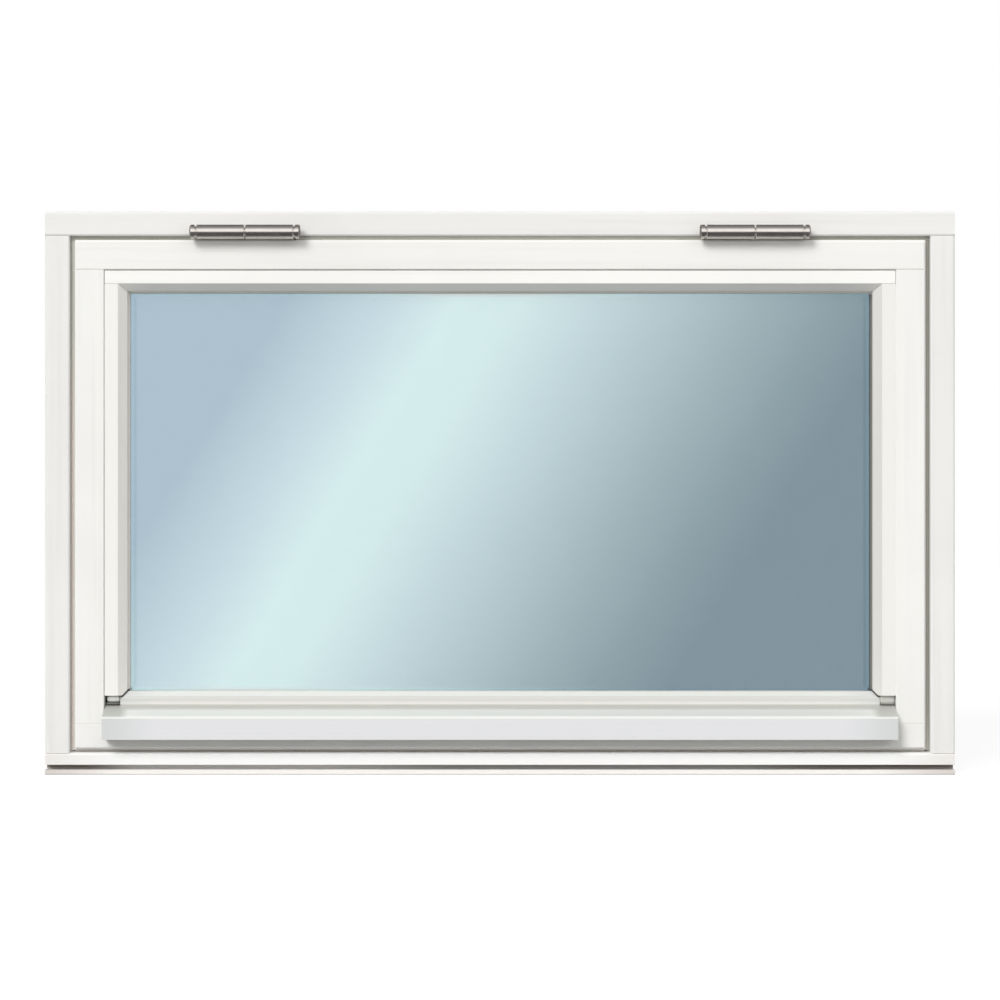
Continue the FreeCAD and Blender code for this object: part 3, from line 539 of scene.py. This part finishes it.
# %% [markdown]
# ## Glass
# From outside by day a window shows little of the room: it mirrors the sky, in a broad soft sheen that runs
# across it at a slant, blue at the top left, palest in a band to the left of the middle, and grey-blue on the
# right. An empty studio has no sky to mirror. So the outer pane is a tinted mirror, as solar glass is, with
# the sheen's colours laid along one slanted distance across it as a painted reflection of the sky, and
# thinner where the band is pale. A ray crosses two faces of the sheet, so each face has a cover a with (1 -
# a) squared equal to what gets through. The far face mirrors only what the near one lets in, and a small gain
# on the tint makes up for that. Close to its edge a pane mirrors the pale beads, so a painted reflection of
# them makes the tint lighter in a narrow rim. The inner pane is nearly clear.

# %% Glass finishes
SLANT = 0.61
SHEEN = [(-0.290, (175, 195, 206), 0.92), (-0.205, (198, 217, 224), 0.90), (-0.140, (214, 234, 235), 0.88),
         (-0.085, (212, 232, 233), 0.88), (-0.018, (198, 217, 221), 0.90), (0.052, (181, 200, 205), 0.92),
         (0.122, (162, 181, 187), 0.93), (0.190, (144, 163, 170), 0.94), (0.253, (132, 150, 160), 0.94)]
SHEEN_FROM, SHEEN_TO = SHEEN[0][0], SHEEN[-1][0]
FAR_FACE_GAIN = 1.15
REFLECTED_BEAD_GAIN = 1.28
EDGE_WIDTH = 4.5 * MM
PANE_COVERED = 14.0 * MM


def face_cover(cover):
    """Cover of one face so that two faces together let through 1 - cover."""
    return 1 - math.sqrt(1 - cover)


def pane_colour(seen_colour, cover):
    """What a face has to be coloured so that, over white, the two faces come out as seen_colour."""
    seen_linear = np.array(linear(*seen_colour)[:3])
    return tuple(float(v) for v in np.clip(FAR_FACE_GAIN * (seen_linear - (1 - cover)) / cover, 0.01, 1.0))


def along_sheen(across, colours):
    """A colour ramp across the pane, with one colour for each stop of the sheen."""
    places = [(stop - SHEEN_FROM) / (SHEEN_TO - SHEEN_FROM) for stop, _, _ in SHEEN]
    return across.node("ShaderNodeValToRGB", {"stops": list(zip(places, colours))}, {"Fac": across})


sky_glass, glass_shader, at = start_finish("sky_glass")
slanted = at.part("x") - (at.part("z") - MID_HEIGHT) * SLANT
ripple = at.noise(5.0, 1.0) * 0.02 - 0.01
across_pane = (slanted + ripple - SHEEN_FROM) * (1 / (SHEEN_TO - SHEEN_FROM))
face_colours = [pane_colour(colour, cover) for _, colour, cover in SHEEN]
# Painted reflection: the sky's sheen, and a lighter rim where the pane mirrors the beads.
painted_sky_reflection = along_sheen(across_pane, face_colours)
painted_bead_reflection = along_sheen(across_pane, [tuple(min(v * REFLECTED_BEAD_GAIN, 1.0) for v in c) for c in face_colours])
face_alpha = along_sheen(across_pane, [(face_cover(cover),) * 3 for _, _, cover in SHEEN])
pane_low, pane_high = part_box("outer_pane")
sight_half, sight_tall = pane_high.x - PANE_COVERED, (pane_high.z - pane_low.z) / 2 - PANE_COVERED
near_side = at.part("x").unsigned().ramp(sight_half - EDGE_WIDTH, sight_half)
from_centre = (at.part("z") - (pane_low.z + pane_high.z) / 2).unsigned()
near_edge = near_side.larger(from_centre.ramp(sight_tall - EDGE_WIDTH, sight_tall))
# Times 1 turns the ramp's grey into a number.
set_sockets(glass_shader, {"Base Color": near_edge.blend(painted_sky_reflection, painted_bead_reflection), "Alpha": face_alpha * 1.0,
                           "Metallic": 0.85, "Roughness": at.noise(30.0) * 0.02 + 0.03,
                           "Normal": at.noise(7.0, 1.0).bump(0.2 * MM, 0.3)})

clear_glass, clear_shader, at = start_finish("clear_glass")
set_sockets(clear_shader, {"Base Color": at.noise(12.0).blend((0.78, 0.86, 0.86, 1), (0.84, 0.90, 0.90, 1)),
                           "Alpha": 0.08, "Metallic": 1.0, "Roughness": at.noise(30.0) * 0.02 + 0.02})
print("glass sheen over", round(SHEEN_TO - SHEEN_FROM, 3), "m")

# %% [markdown]
# ## Dressing the solids
# A solid keeps its shape and gets its finish through its material slot. Each name below stands for a real
# piece, and the pieces of timber are sorted by the way their grain runs.

# %% Give every solid its finish
SEALS = ["head_weather_seal", "sill_weather_seal", "left_weather_seal", "right_weather_seal", "edge_sealant"]
HINGES = [f"{side}_hinge_{piece}" for side in ("left", "right")
          for piece in ("frame_leaf", "sash_leaf", "pin")]
DRIP = ["bottom_drip_profile", "left_drip_end_cap", "right_drip_end_cap"]
dressed = [(frame_along, ["frame_head"]), (frame_upright, ["frame_left_jamb", "frame_right_jamb"]),
           (sill_paint, ["frame_sill"]), (sash_along, ["sash_top_rail", "sash_bottom_rail"]),
           (sash_upright, ["sash_left_stile", "sash_right_stile"]), (bead_along, ["top_glazing_bead"]),
           (bead_upright, ["left_glazing_bead", "right_glazing_bead"]), (seal_black, SEALS),
           (tape_pale, ["glazing_gasket", "glazing_tape"]), (block_grey, ["setting_blocks"]),
           (spacer_grey, ["spacer_bars"]), (drip_silver, DRIP), (hinge_polish, HINGES),
           (handle_brushed, ["handle_plate", "handle_lever"]), (sky_glass, ["outer_pane"]),
           (clear_glass, ["inner_pane"])]
for finish, names in dressed:
    for name in names:
        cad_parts[name].material_slots[0].material = finish
print("dressed", sum(len(names) for _, names in dressed), "of", len(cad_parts))

# %% [markdown]
# ## Surfaces from grids of points
# The solids leave out what is soft: rolled rubber lips, a cast handle, screw heads. Each of these is easy
# to write as points that depend on two numbers, one along the piece and one round it. Worked out for a
# whole grid of numbers at once, that gives a sheet of four-cornered cells. A direction that goes round
# closes on itself. Where a tube ends, its last ring is drawn in to one point, and the doubled points
# there are merged, so that no piece has an open hole.

# %% Grids of points become pieces
SHARP_FROM = 42
MERGE_WITHIN = 1e-6


def cell_corners(rows, columns, rows_close, columns_close):
    """Corner numbers of every cell of a grid; a direction that closes joins its last line to its first."""
    row = np.arange(rows if rows_close else rows - 1)[:, None]
    column = np.arange(columns if columns_close else columns - 1)[None, :]
    below, beside = (row + 1) % rows, (column + 1) % columns
    corners = (row * columns + column, row * columns + beside,
               below * columns + beside, below * columns + column)
    return np.stack(np.broadcast_arrays(*corners), axis=-1).reshape(-1, 4)


def drawn_in(rings):
    """The same rings, with one more at each end in which all points lie at the middle of the end ring."""
    first, last = (np.broadcast_to(end.mean(axis=0), end.shape)[None] for end in (rings[0], rings[-1]))
    return np.concatenate([first, rings, last])


def signed_power(value, power):
    """Size of value to a power, with its sign kept. With a power under 1 it squares up a circle."""
    return np.sign(value) * np.abs(value) ** power


def full_turn(count):
    """Even angles once round, as one row."""
    return np.linspace(0, 2 * np.pi, count, endpoint=False)[None, :]


def add_piece(name, grids, rows_close, finish):
    """One object from several grids of points (rows, columns, 3) that all close along their columns."""
    faces, start = [], 0
    for grid in grids:
        faces.append(start + cell_corners(*grid.shape[:2], rows_close, True))
        start += grid.shape[0] * grid.shape[1]
    points = np.concatenate([grid.reshape(-1, 3) for grid in grids])
    mesh = bpy.data.meshes.new(name)
    mesh.from_pydata(points.tolist(), [], np.concatenate(faces).tolist())
    sheet = bmesh.new()
    sheet.from_mesh(mesh)
    bmesh.ops.remove_doubles(sheet, verts=sheet.verts, dist=MERGE_WITHIN)
    bmesh.ops.recalc_face_normals(sheet, faces=sheet.faces)
    sheet.to_mesh(mesh)
    sheet.free()
    mesh.polygons.foreach_set("use_smooth", np.ones(len(mesh.polygons), dtype=bool))
    mesh.set_sharp_from_angle(angle=math.radians(SHARP_FROM))
    mesh.materials.append(finish)
    piece = bpy.data.objects.new(name, mesh)
    scene.collection.objects.link(piece)
    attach(piece, "root")
    print(name, len(mesh.polygons), "faces")
    return piece


print("edges are sharp from", SHARP_FROM, "degrees")

# %% [markdown]
# ## The glazing gasket
# Between the beads and the outer pane lies a rubber strip, and all that shows of it is a narrow rounded lip
# that leans on the glass. The solid strip has square edges, so light stops dead at them. Here a squared-up
# oval, width by thickness, is carried round the rectangle of the glass. At each corner the section moves in
# by the same amount along both axes, and that is just what a mitre is. The lip's grey is painted light and
# shade: pale along the top and down the left, where the lip lies in shade, and darker down the right, so its
# grey follows the place: one soft step across and one up.

# %% Gasket
GASKET_WIDTH, GASKET_SQUARENESS = 14.0 * MM, 0.5
GASKET_PALE, GASKET_SPECK = linear(248, 245, 239), linear(240, 237, 231)
GASKET_RIGHT_PAINTED_SHADE, GASKET_TOP_PAINTED_LIGHT = linear(111, 112, 108), linear(230, 229, 222)


def rubber_ring(low, high, width, squareness):
    """A tube round a rectangle: cosine gives the way in from its edge, sine the depth, both squared up."""
    turn = full_turn(36)
    inset = width / 2 * (1 - signed_power(np.cos(turn), squareness))
    depth = (low.y + high.y) / 2 + (high.y - low.y) / 2 * signed_power(np.sin(turn), squareness)
    right = np.array([0, 1, 1, 0])[:, None]
    above = np.array([0, 0, 1, 1])[:, None]
    x = np.where(right, high.x - inset, low.x + inset)
    z = np.where(above, high.z - inset, low.z + inset)
    return np.stack([x, np.broadcast_to(depth, x.shape), z], axis=-1)


gasket_low, gasket_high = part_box("glazing_gasket")
gasket_grey, gasket_shader, at = moulded("gasket_grey", GASKET_PALE, GASKET_PALE, 0.5)
sight_side, sight_top = gasket_high.x - GASKET_WIDTH, gasket_high.z - GASKET_WIDTH
# Painted light along the top and left, painted shade down the right.
on_right = at.part("x").ramp(sight_side - 4 * MM, sight_side - 1 * MM)
on_top = at.part("z").ramp(sight_top - 1.5 * MM, sight_top - 0.2 * MM)
speck = at.noise(120.0).blend(GASKET_PALE, GASKET_SPECK)
gasket_painted_light_and_shade = on_top.blend(on_right.blend(speck, GASKET_RIGHT_PAINTED_SHADE), GASKET_TOP_PAINTED_LIGHT)
set_sockets(gasket_shader, {"Base Color": gasket_painted_light_and_shade})
gasket_ring = rubber_ring(gasket_low, gasket_high, GASKET_WIDTH, GASKET_SQUARENESS)
soft_gasket = add_piece("soft_gasket", [gasket_ring], True, gasket_grey)
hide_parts("glazing_gasket")

# %% [markdown]
# ## Rubber under the feet of the side beads
# The feet of the side beads are scribed over the aluminium hook: cut level in front, then at a slope, then
# level again, a little clear of the metal. A thin rubber strip lies in that joint and keeps water out; its
# dark grey is also painted shade for the gap there, so it shows as a dark slanting line. Its upper edge
# follows the scribed cut, and a round lip closes it in front. The place along the strip is counted in widths
# of the bead's slope, so that one number gives both x and depth.

# %% Bead foot rubber
FOOT_STRIP, FOOT_ROOM, FOOT_SET_BACK = 1.4 * MM, 0.05 * MM, 0.15 * MM
FOOT_FROM, FOOT_TO, LIP_TO = -0.24, 0.76, 0.54
LIP_RADIUS, LIP_DROP = 0.8 * MM, 0.3 * MM
FOOT_BACK = bead_high.y - 0.4 * MM


def scribed_cut(depth):
    """Height of the cut: it rises one for one with depth from the hook's face to its crest, flat outside."""
    return bead_low.z + np.clip(depth - HOOK_FACE, 0, HOOK_CREST - HOOK_FACE)


def slope_front(along):
    """Depth of the bead's sloping front: the full depth less the same share as the way along."""
    return bead_low.y + BEAD_SLOPE_DEPTH * (1 - along)


def foot_strip(side):
    """A strip along the bead's sloping front: each ring runs back under the foot and forward again, lower."""
    along = np.linspace(FOOT_FROM, FOOT_TO, 24)[:, None]
    back_and_forth = np.concatenate([np.linspace(0, 1, 16), np.linspace(1, 0, 16)])[None, :]
    front = slope_front(along) + FOOT_SET_BACK
    depth = front + back_and_forth * (FOOT_BACK - front)
    x = np.broadcast_to(bead_low.x + along * BEAD_SLOPE_RUN, depth.shape)
    lower_half = (np.arange(32) >= 16)[None, :]
    height = scribed_cut(depth) - FOOT_ROOM - FOOT_STRIP * lower_half
    return drawn_in(np.stack([side * x, depth, height], axis=-1))


def foot_lip(side):
    """The strip's round front lip: a circle carried along the scribed cut, where it shows on the slope."""
    along = np.linspace(FOOT_FROM, LIP_TO, 24)[:, None]
    turn = full_turn(16)
    depth = slope_front(along)
    x = bead_low.x + along * BEAD_SLOPE_RUN + 0 * turn
    height = scribed_cut(depth) - LIP_DROP + LIP_RADIUS * np.sin(turn)
    return drawn_in(np.stack([side * x, depth + LIP_RADIUS * np.cos(turn), height], axis=-1))


# Its dark grey is partly painted shade for the gap at the bead's foot.
foot_grey_painted_shade = moulded("foot_grey_painted_shade", linear(80, 80, 76), linear(100, 100, 95), 0.55)[0]
print("foot strip", round(FOOT_STRIP / MM, 1), "mm thick")

# %% [markdown]
# ## Plugs at the hook's ends
# The hook is cut off short of the stiles, and beside each cut end sits a rounded plug, as pale as the bar, on
# a grey rubber pad. The pads' grey is also painted shade for the recess under the plug. Both are squared-up
# balls, which need only a box and one number for how square they are. The two sides differ a little: the
# right pad is paler and lower, and the right plug is squarer and duller, which is painted shade. The strips
# of the last step are added here too, so that the pieces of one side stay together.

# %% Feet, pads and plugs
PLUG_INNER = 329.9 * MM
PAD_FRONT, PAD_BACK, PAD_FOOT = -54.0 * MM, -49.2 * MM, 60.6 * MM
PLUG_FRONT, PLUG_BACK, PLUG_ROOM = -53.0 * MM, -46.7 * MM, 0.1 * MM
PAD_SQUARENESS = 0.4


def soft_block(low, high, squareness):
    """A squared-up ball: rings at even angles from one side to the other, each a squared-up oval."""
    tilt = np.linspace(-np.pi / 2, np.pi / 2, 15)[:, None]
    turn = full_turn(32)
    ring = signed_power(np.cos(tilt), squareness)
    shape = np.stack([np.broadcast_to(signed_power(np.sin(tilt), squareness), (15, 32)),
                      ring * signed_power(np.cos(turn), squareness),
                      ring * signed_power(np.sin(turn), squareness)], axis=-1)
    low, high = np.array(low), np.array(high)
    return (low + high) / 2 + shape * (high - low) / 2


# Painted shade: the pads' grey stands for the recess under the plugs, and the right plug is duller.
pad_dark_painted_shade = moulded("pad_dark_painted_shade", linear(112, 111, 106), linear(124, 123, 117), 0.55)[0]
pad_pale_painted_shade = moulded("pad_pale_painted_shade", linear(168, 166, 159), linear(180, 178, 171), 0.55)[0]
plug_painted_shade = drawn_aluminium("plug_painted_shade", linear(206, 205, 198), linear(196, 195, 188), 0.1, 0.5)[0]
# Side, its name, outer end, top of the pad, top of the plug, the plug's squareness, finishes of pad and plug.
PLUGS = [(-1, "left", 341.4 * MM, 62.2 * MM, 68.3 * MM, 0.60, pad_dark_painted_shade, drip_silver),
         (1, "right", 342.6 * MM, 61.5 * MM, 68.4 * MM, 0.25, pad_pale_painted_shade, plug_painted_shade)]
for side, hand, outer, pad_top, plug_top, squareness, pad_finish, plug_finish in PLUGS:
    first, last = np.sort([side * PLUG_INNER, side * outer])
    pad = soft_block((first, PAD_FRONT, PAD_FOOT), (last, PAD_BACK, pad_top), PAD_SQUARENESS)
    plug = soft_block((first, PLUG_FRONT, pad_top + PLUG_ROOM), (last, PLUG_BACK, plug_top), squareness)
    add_piece(f"{hand}_bead_foot_rubber", [foot_strip(side), foot_lip(side)], False, foot_grey_painted_shade)
    add_piece(f"{hand}_hook_end_pad", [pad], False, pad_finish)
    add_piece(f"{hand}_hook_end_plug", [plug], False, plug_finish)

# %% [markdown]
# ## The strip in the joint round the sash
# An open joint a few millimetres wide would be a black line. This window's joint is a soft grey one, because
# a strip of foam rubber is stuck on the little step in the frame, some way behind the face, and nearly fills
# the joint. It is the simplest piece of all: a squared-up oval carried straight along one axis. Over the sash
# it is left out behind the hinges, whose leaves lie there. The foam's greys are painted light and shade:
# lighter on the left and along the top, where the joint lies in shade, darker on the right, and changing
# along each run. Under the sash and on the right a band of the sash's white lies on it, next to the sash.

# %% Joint foam
FOAM_PORE = linear(120, 118, 110)
STRIP_SQUARENESS = 0.4


def straight_strip(low, high, axis):
    """A squared-up oval, as wide and deep as the box from low to high, carried straight along one axis."""
    low, high = np.array(low), np.array(high)
    first, second = [k for k in range(3) if k != axis]
    turn = full_turn(28)
    middle, half = (low + high) / 2, (high - low) / 2
    rings = np.empty((2, 28, 3))
    rings[:, :, axis] = np.array([[low[axis]], [high[axis]]])
    rings[:, :, first] = middle[first] + half[first] * signed_power(np.cos(turn), STRIP_SQUARENESS)
    rings[:, :, second] = middle[second] + half[second] * signed_power(np.sin(turn), STRIP_SQUARENESS)
    return drawn_in(rings)


def joint_foam(name, letter, start, stop, near, far, paint=None):
    """Foam that goes from colour near to far as the distance along one axis goes from start to stop. A band
    of sash white on it is given as an axis and the two places between which it becomes full."""
    material, shader, at = moulded(name, near, near, 0.6)
    place = at.part(letter).unsigned().ramp(start, stop)
    bubbles = at.noise(900.0, 2.0).ramp(0.55, 0.75) * 0.25
    colour = bubbles.blend(place.blend(near, far), FOAM_PORE)
    if paint:
        colour = at.part(paint[0]).ramp(*paint[1:]).blend(colour, SASH_WHITE)
    set_sockets(shader, {"Base Color": colour})
    return material


sash_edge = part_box("sash_right_stile")[1].x
sash_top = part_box("sash_top_rail")[1].z
# Painted light and shade: each run of foam has its own greys.
strip_left = joint_foam("joint_foam_left", "z", 0.30, 0.40, linear(216, 208, 200), linear(198, 198, 189))
strip_right = joint_foam("joint_foam_right", "z", 0.0, 0.08, linear(176, 174, 164), linear(152, 150, 140),
                         ("x", sash_edge + 1.5 * MM, sash_edge + 0.9 * MM))
strip_top = joint_foam("joint_foam_top", "x", 0.18, 0.30, linear(218, 217, 208), linear(192, 191, 182))
strip_under = joint_foam("joint_foam_under", "x", 0.32, 0.37, linear(170, 164, 156), linear(190, 184, 177),
                         ("z", 20.8 * MM, 21.6 * MM))
print("foam:", [finish.name for finish in (strip_left, strip_right, strip_top, strip_under)])

# %% Joint strips
JOINT_SIDE, JOINT_TOP, JOINT_ROOM = 4.3 * MM, 3.4 * MM, 0.08 * MM
STRIP_BACK = FACE_Y + 7.95 * MM
STRIP_FRONT = STRIP_BACK - 2.6 * MM
STRIP_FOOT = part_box("frame_left_jamb")[0].z + 2.5 * MM
UNDER_LOW, UNDER_HIGH, UNDER_BACK = 19.8 * MM, 22.9 * MM, STRIP_BACK - 0.2 * MM
LEAF_CLEAR = 43.3 * MM

for side, hand, finish in ((-1, "left", strip_left), (1, "right", strip_right)):
    near, far = np.sort([side * (sash_edge + JOINT_ROOM), side * (sash_edge + JOINT_SIDE - JOINT_ROOM)])
    upright = straight_strip((near, STRIP_FRONT, STRIP_FOOT), (far, STRIP_BACK, sash_top), 2)
    add_piece(f"{hand}_joint_strip", [upright], False, finish)
leaf_in, leaf_out = hinge_middle - LEAF_CLEAR, hinge_middle + LEAF_CLEAR
joint_end = sash_edge + JOINT_SIDE - JOINT_ROOM
top_low, top_high = sash_top + JOINT_ROOM, sash_top + JOINT_TOP - JOINT_ROOM
runs = [straight_strip((start, STRIP_FRONT, top_low), (stop, STRIP_BACK, top_high), 0)
        for start, stop in ((-joint_end, -leaf_out), (-leaf_in, leaf_in), (leaf_out, joint_end))]
add_piece("top_joint_strip", runs, False, strip_top)
under = straight_strip((-sash_edge, STRIP_FRONT, UNDER_LOW), (sash_edge, UNDER_BACK, UNDER_HIGH), 0)
add_piece("bottom_joint_strip", [under], False, strip_under)

# %% [markdown]
# ## Paint in the joints beside the beads
# The side beads were painted in place, and paint has filled the fine joint between each of them and its
# stile: on the right up to the face, on the left not quite. It is the same straight strip again, thin as
# a thread.

# %% Paint threads
THREAD_IN, THREAD_OUT, THREAD_THICK = 0.5 * MM, 0.8 * MM, 1.4 * MM

for side, hand, set_back in ((-1, "left", 0.45 * MM), (1, "right", -0.15 * MM)):
    near, far = np.sort([side * (bead_high.x - THREAD_IN), side * (bead_high.x + THREAD_OUT)])
    front = bead_low.y + set_back
    thread = straight_strip((near, front, bead_low.z), (far, front + THREAD_THICK, bead_high.z), 2)
    add_piece(f"{hand}_bead_paint_line", [thread], False, bead_upright)

# %% [markdown]
# ## The lever
# A window handle is cast and then brushed, so its grip is full and round with no hard edge anywhere. The
# solid one is a bar with bevels. Here a squared-up oval is carried along a path that leaves the plate,
# turns a quarter round and runs on along the sash, swelling a little towards the hand end. Past the end
# of the path the oval shrinks like the rings of a ball, which closes the tip. The collar at its root is a
# turned shape: a radius that follows the height.

# %% Handle lever
GRIP_DEEP, GRIP_TALL, GRIP_SQUARENESS = 5.5 * MM, 6.5 * MM, 0.72
BEND = 13.5 * MM
TIP_LENGTH, TIP_POWER = 9.0 * MM, 2.4
ROOT_SIZE, SWELL_POWER = 0.86, 0.7
lever_low, lever_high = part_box("handle_lever")
plate_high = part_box("handle_plate")[1]
lever_height = (lever_low.z + lever_high.z) / 2


def lever_path(count):
    """Middle line of the lever as places (x, y), headings and a size: up from the plate, a quarter bend, then
    along the sash. The size grows as a power of the way along, and shrinks to nothing over the tip."""
    far = lever_high.y - GRIP_DEEP
    stem = np.linspace(plate_high.y, far - BEND, 8)
    bend = np.linspace(0, np.pi / 2, 24)[1:]
    run = np.linspace(BEND, lever_high.x - TIP_LENGTH, count)[1:]
    tip = np.sin(np.linspace(0, np.pi / 2, 14)[1:])
    x = np.concatenate([0 * stem, BEND * (1 - np.cos(bend)), run, run[-1] + TIP_LENGTH * tip])
    y = np.concatenate([stem, far - BEND + BEND * np.sin(bend), np.full(len(run) + len(tip), far)])
    heading = np.concatenate([0 * stem, bend, np.full(len(run) + len(tip), np.pi / 2)])
    way_along = np.clip((x - BEND) / (lever_high.x - BEND), 0, 1)
    swell = ROOT_SIZE + (1 - ROOT_SIZE) * way_along ** SWELL_POWER
    swell[-len(tip):] *= np.sqrt(1 - np.clip(tip, 0, 1) ** TIP_POWER)
    return x, y, heading, swell


def lever_tube():
    """The oval carried along the path: its depth lies across the heading and its height along Z."""
    x, y, heading, swell = (part[:, None] for part in lever_path(40))
    turn = full_turn(40)
    deep = GRIP_DEEP * swell * signed_power(np.cos(turn), GRIP_SQUARENESS)
    tall = GRIP_TALL * swell * signed_power(np.sin(turn), GRIP_SQUARENESS)
    x, y = x + deep * np.cos(heading), y - deep * np.sin(heading)
    return drawn_in(np.stack([x, y, lever_height + tall], axis=-1))


def collar():
    """A turned ring, radius and rise in millimetres: straight side, rounded shoulder, dished top."""
    shoulder = np.linspace(0, np.pi / 2, 8)
    radius = np.concatenate([[9.8], 8.8 + np.cos(shoulder), [7.2, 5.0]])[:, None] * MM
    rise = np.concatenate([[0.0], 2.0 + np.sin(shoulder), [2.8, 2.7]])[:, None] * MM
    turn = full_turn(48)
    return drawn_in(np.stack([radius * np.cos(turn), plate_high.y + rise + 0 * turn,
                              lever_height + radius * np.sin(turn)], axis=-1))


cast_lever = add_piece("cast_lever", [lever_tube(), collar()], False, handle_brushed)
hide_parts("handle_lever")

# %% [markdown]
# ## Screws in the handle's plate
# Two raised countersunk screws hold the plate. A screw head is a low dome, so its height depends on the
# distance from its middle alone, except for the cross recess. The recess is cut where a point is near one
# of the two axes of the cross and not far out: each of those tests is a soft step, and their product says
# how much of the depth to take away.

# %% Screw heads
SCREW_APART = 26.0 * MM
SCREW_RADIUS, SCREW_RISE = 3.6 * MM, 0.9 * MM
CROSS_HALF, CROSS_REACH, CROSS_DEPTH = 0.55 * MM, 2.1 * MM, 1.2 * MM
CROSS_TURN = 0.3


def soft_step(value, edge, width):
    """0 well below edge, 1 well above it, and a smooth rise over width between."""
    share = np.clip((value - edge) / width + 0.5, 0, 1)
    return share * share * (3 - 2 * share)


def screw_head(middle_x):
    """Rings from rim to middle; height is a dome less a cross-shaped recess."""
    radius = np.linspace(1.0, 0.02, 26)[:, None] * SCREW_RADIUS
    turn = full_turn(96)
    across, up = radius * np.cos(turn + CROSS_TURN), radius * np.sin(turn + CROSS_TURN)
    near_axis = np.minimum(np.abs(radius * np.cos(turn)), np.abs(radius * np.sin(turn)))
    in_arm = 1 - soft_step(near_axis, CROSS_HALF, 0.25 * MM)
    in_reach = 1 - soft_step(radius, CROSS_REACH, 0.5 * MM)
    rise = SCREW_RISE * (1 - (radius / SCREW_RADIUS) ** 2) - CROSS_DEPTH * in_arm * in_reach
    return drawn_in(np.stack([middle_x + across, plate_high.y + rise, lever_height + up], axis=-1))


heads = [screw_head(-SCREW_APART), screw_head(SCREW_APART)]
add_piece("handle_screws", heads, False, handle_brushed)

# %% [markdown]
# ## Sizes
# What is added must not make the window bigger.
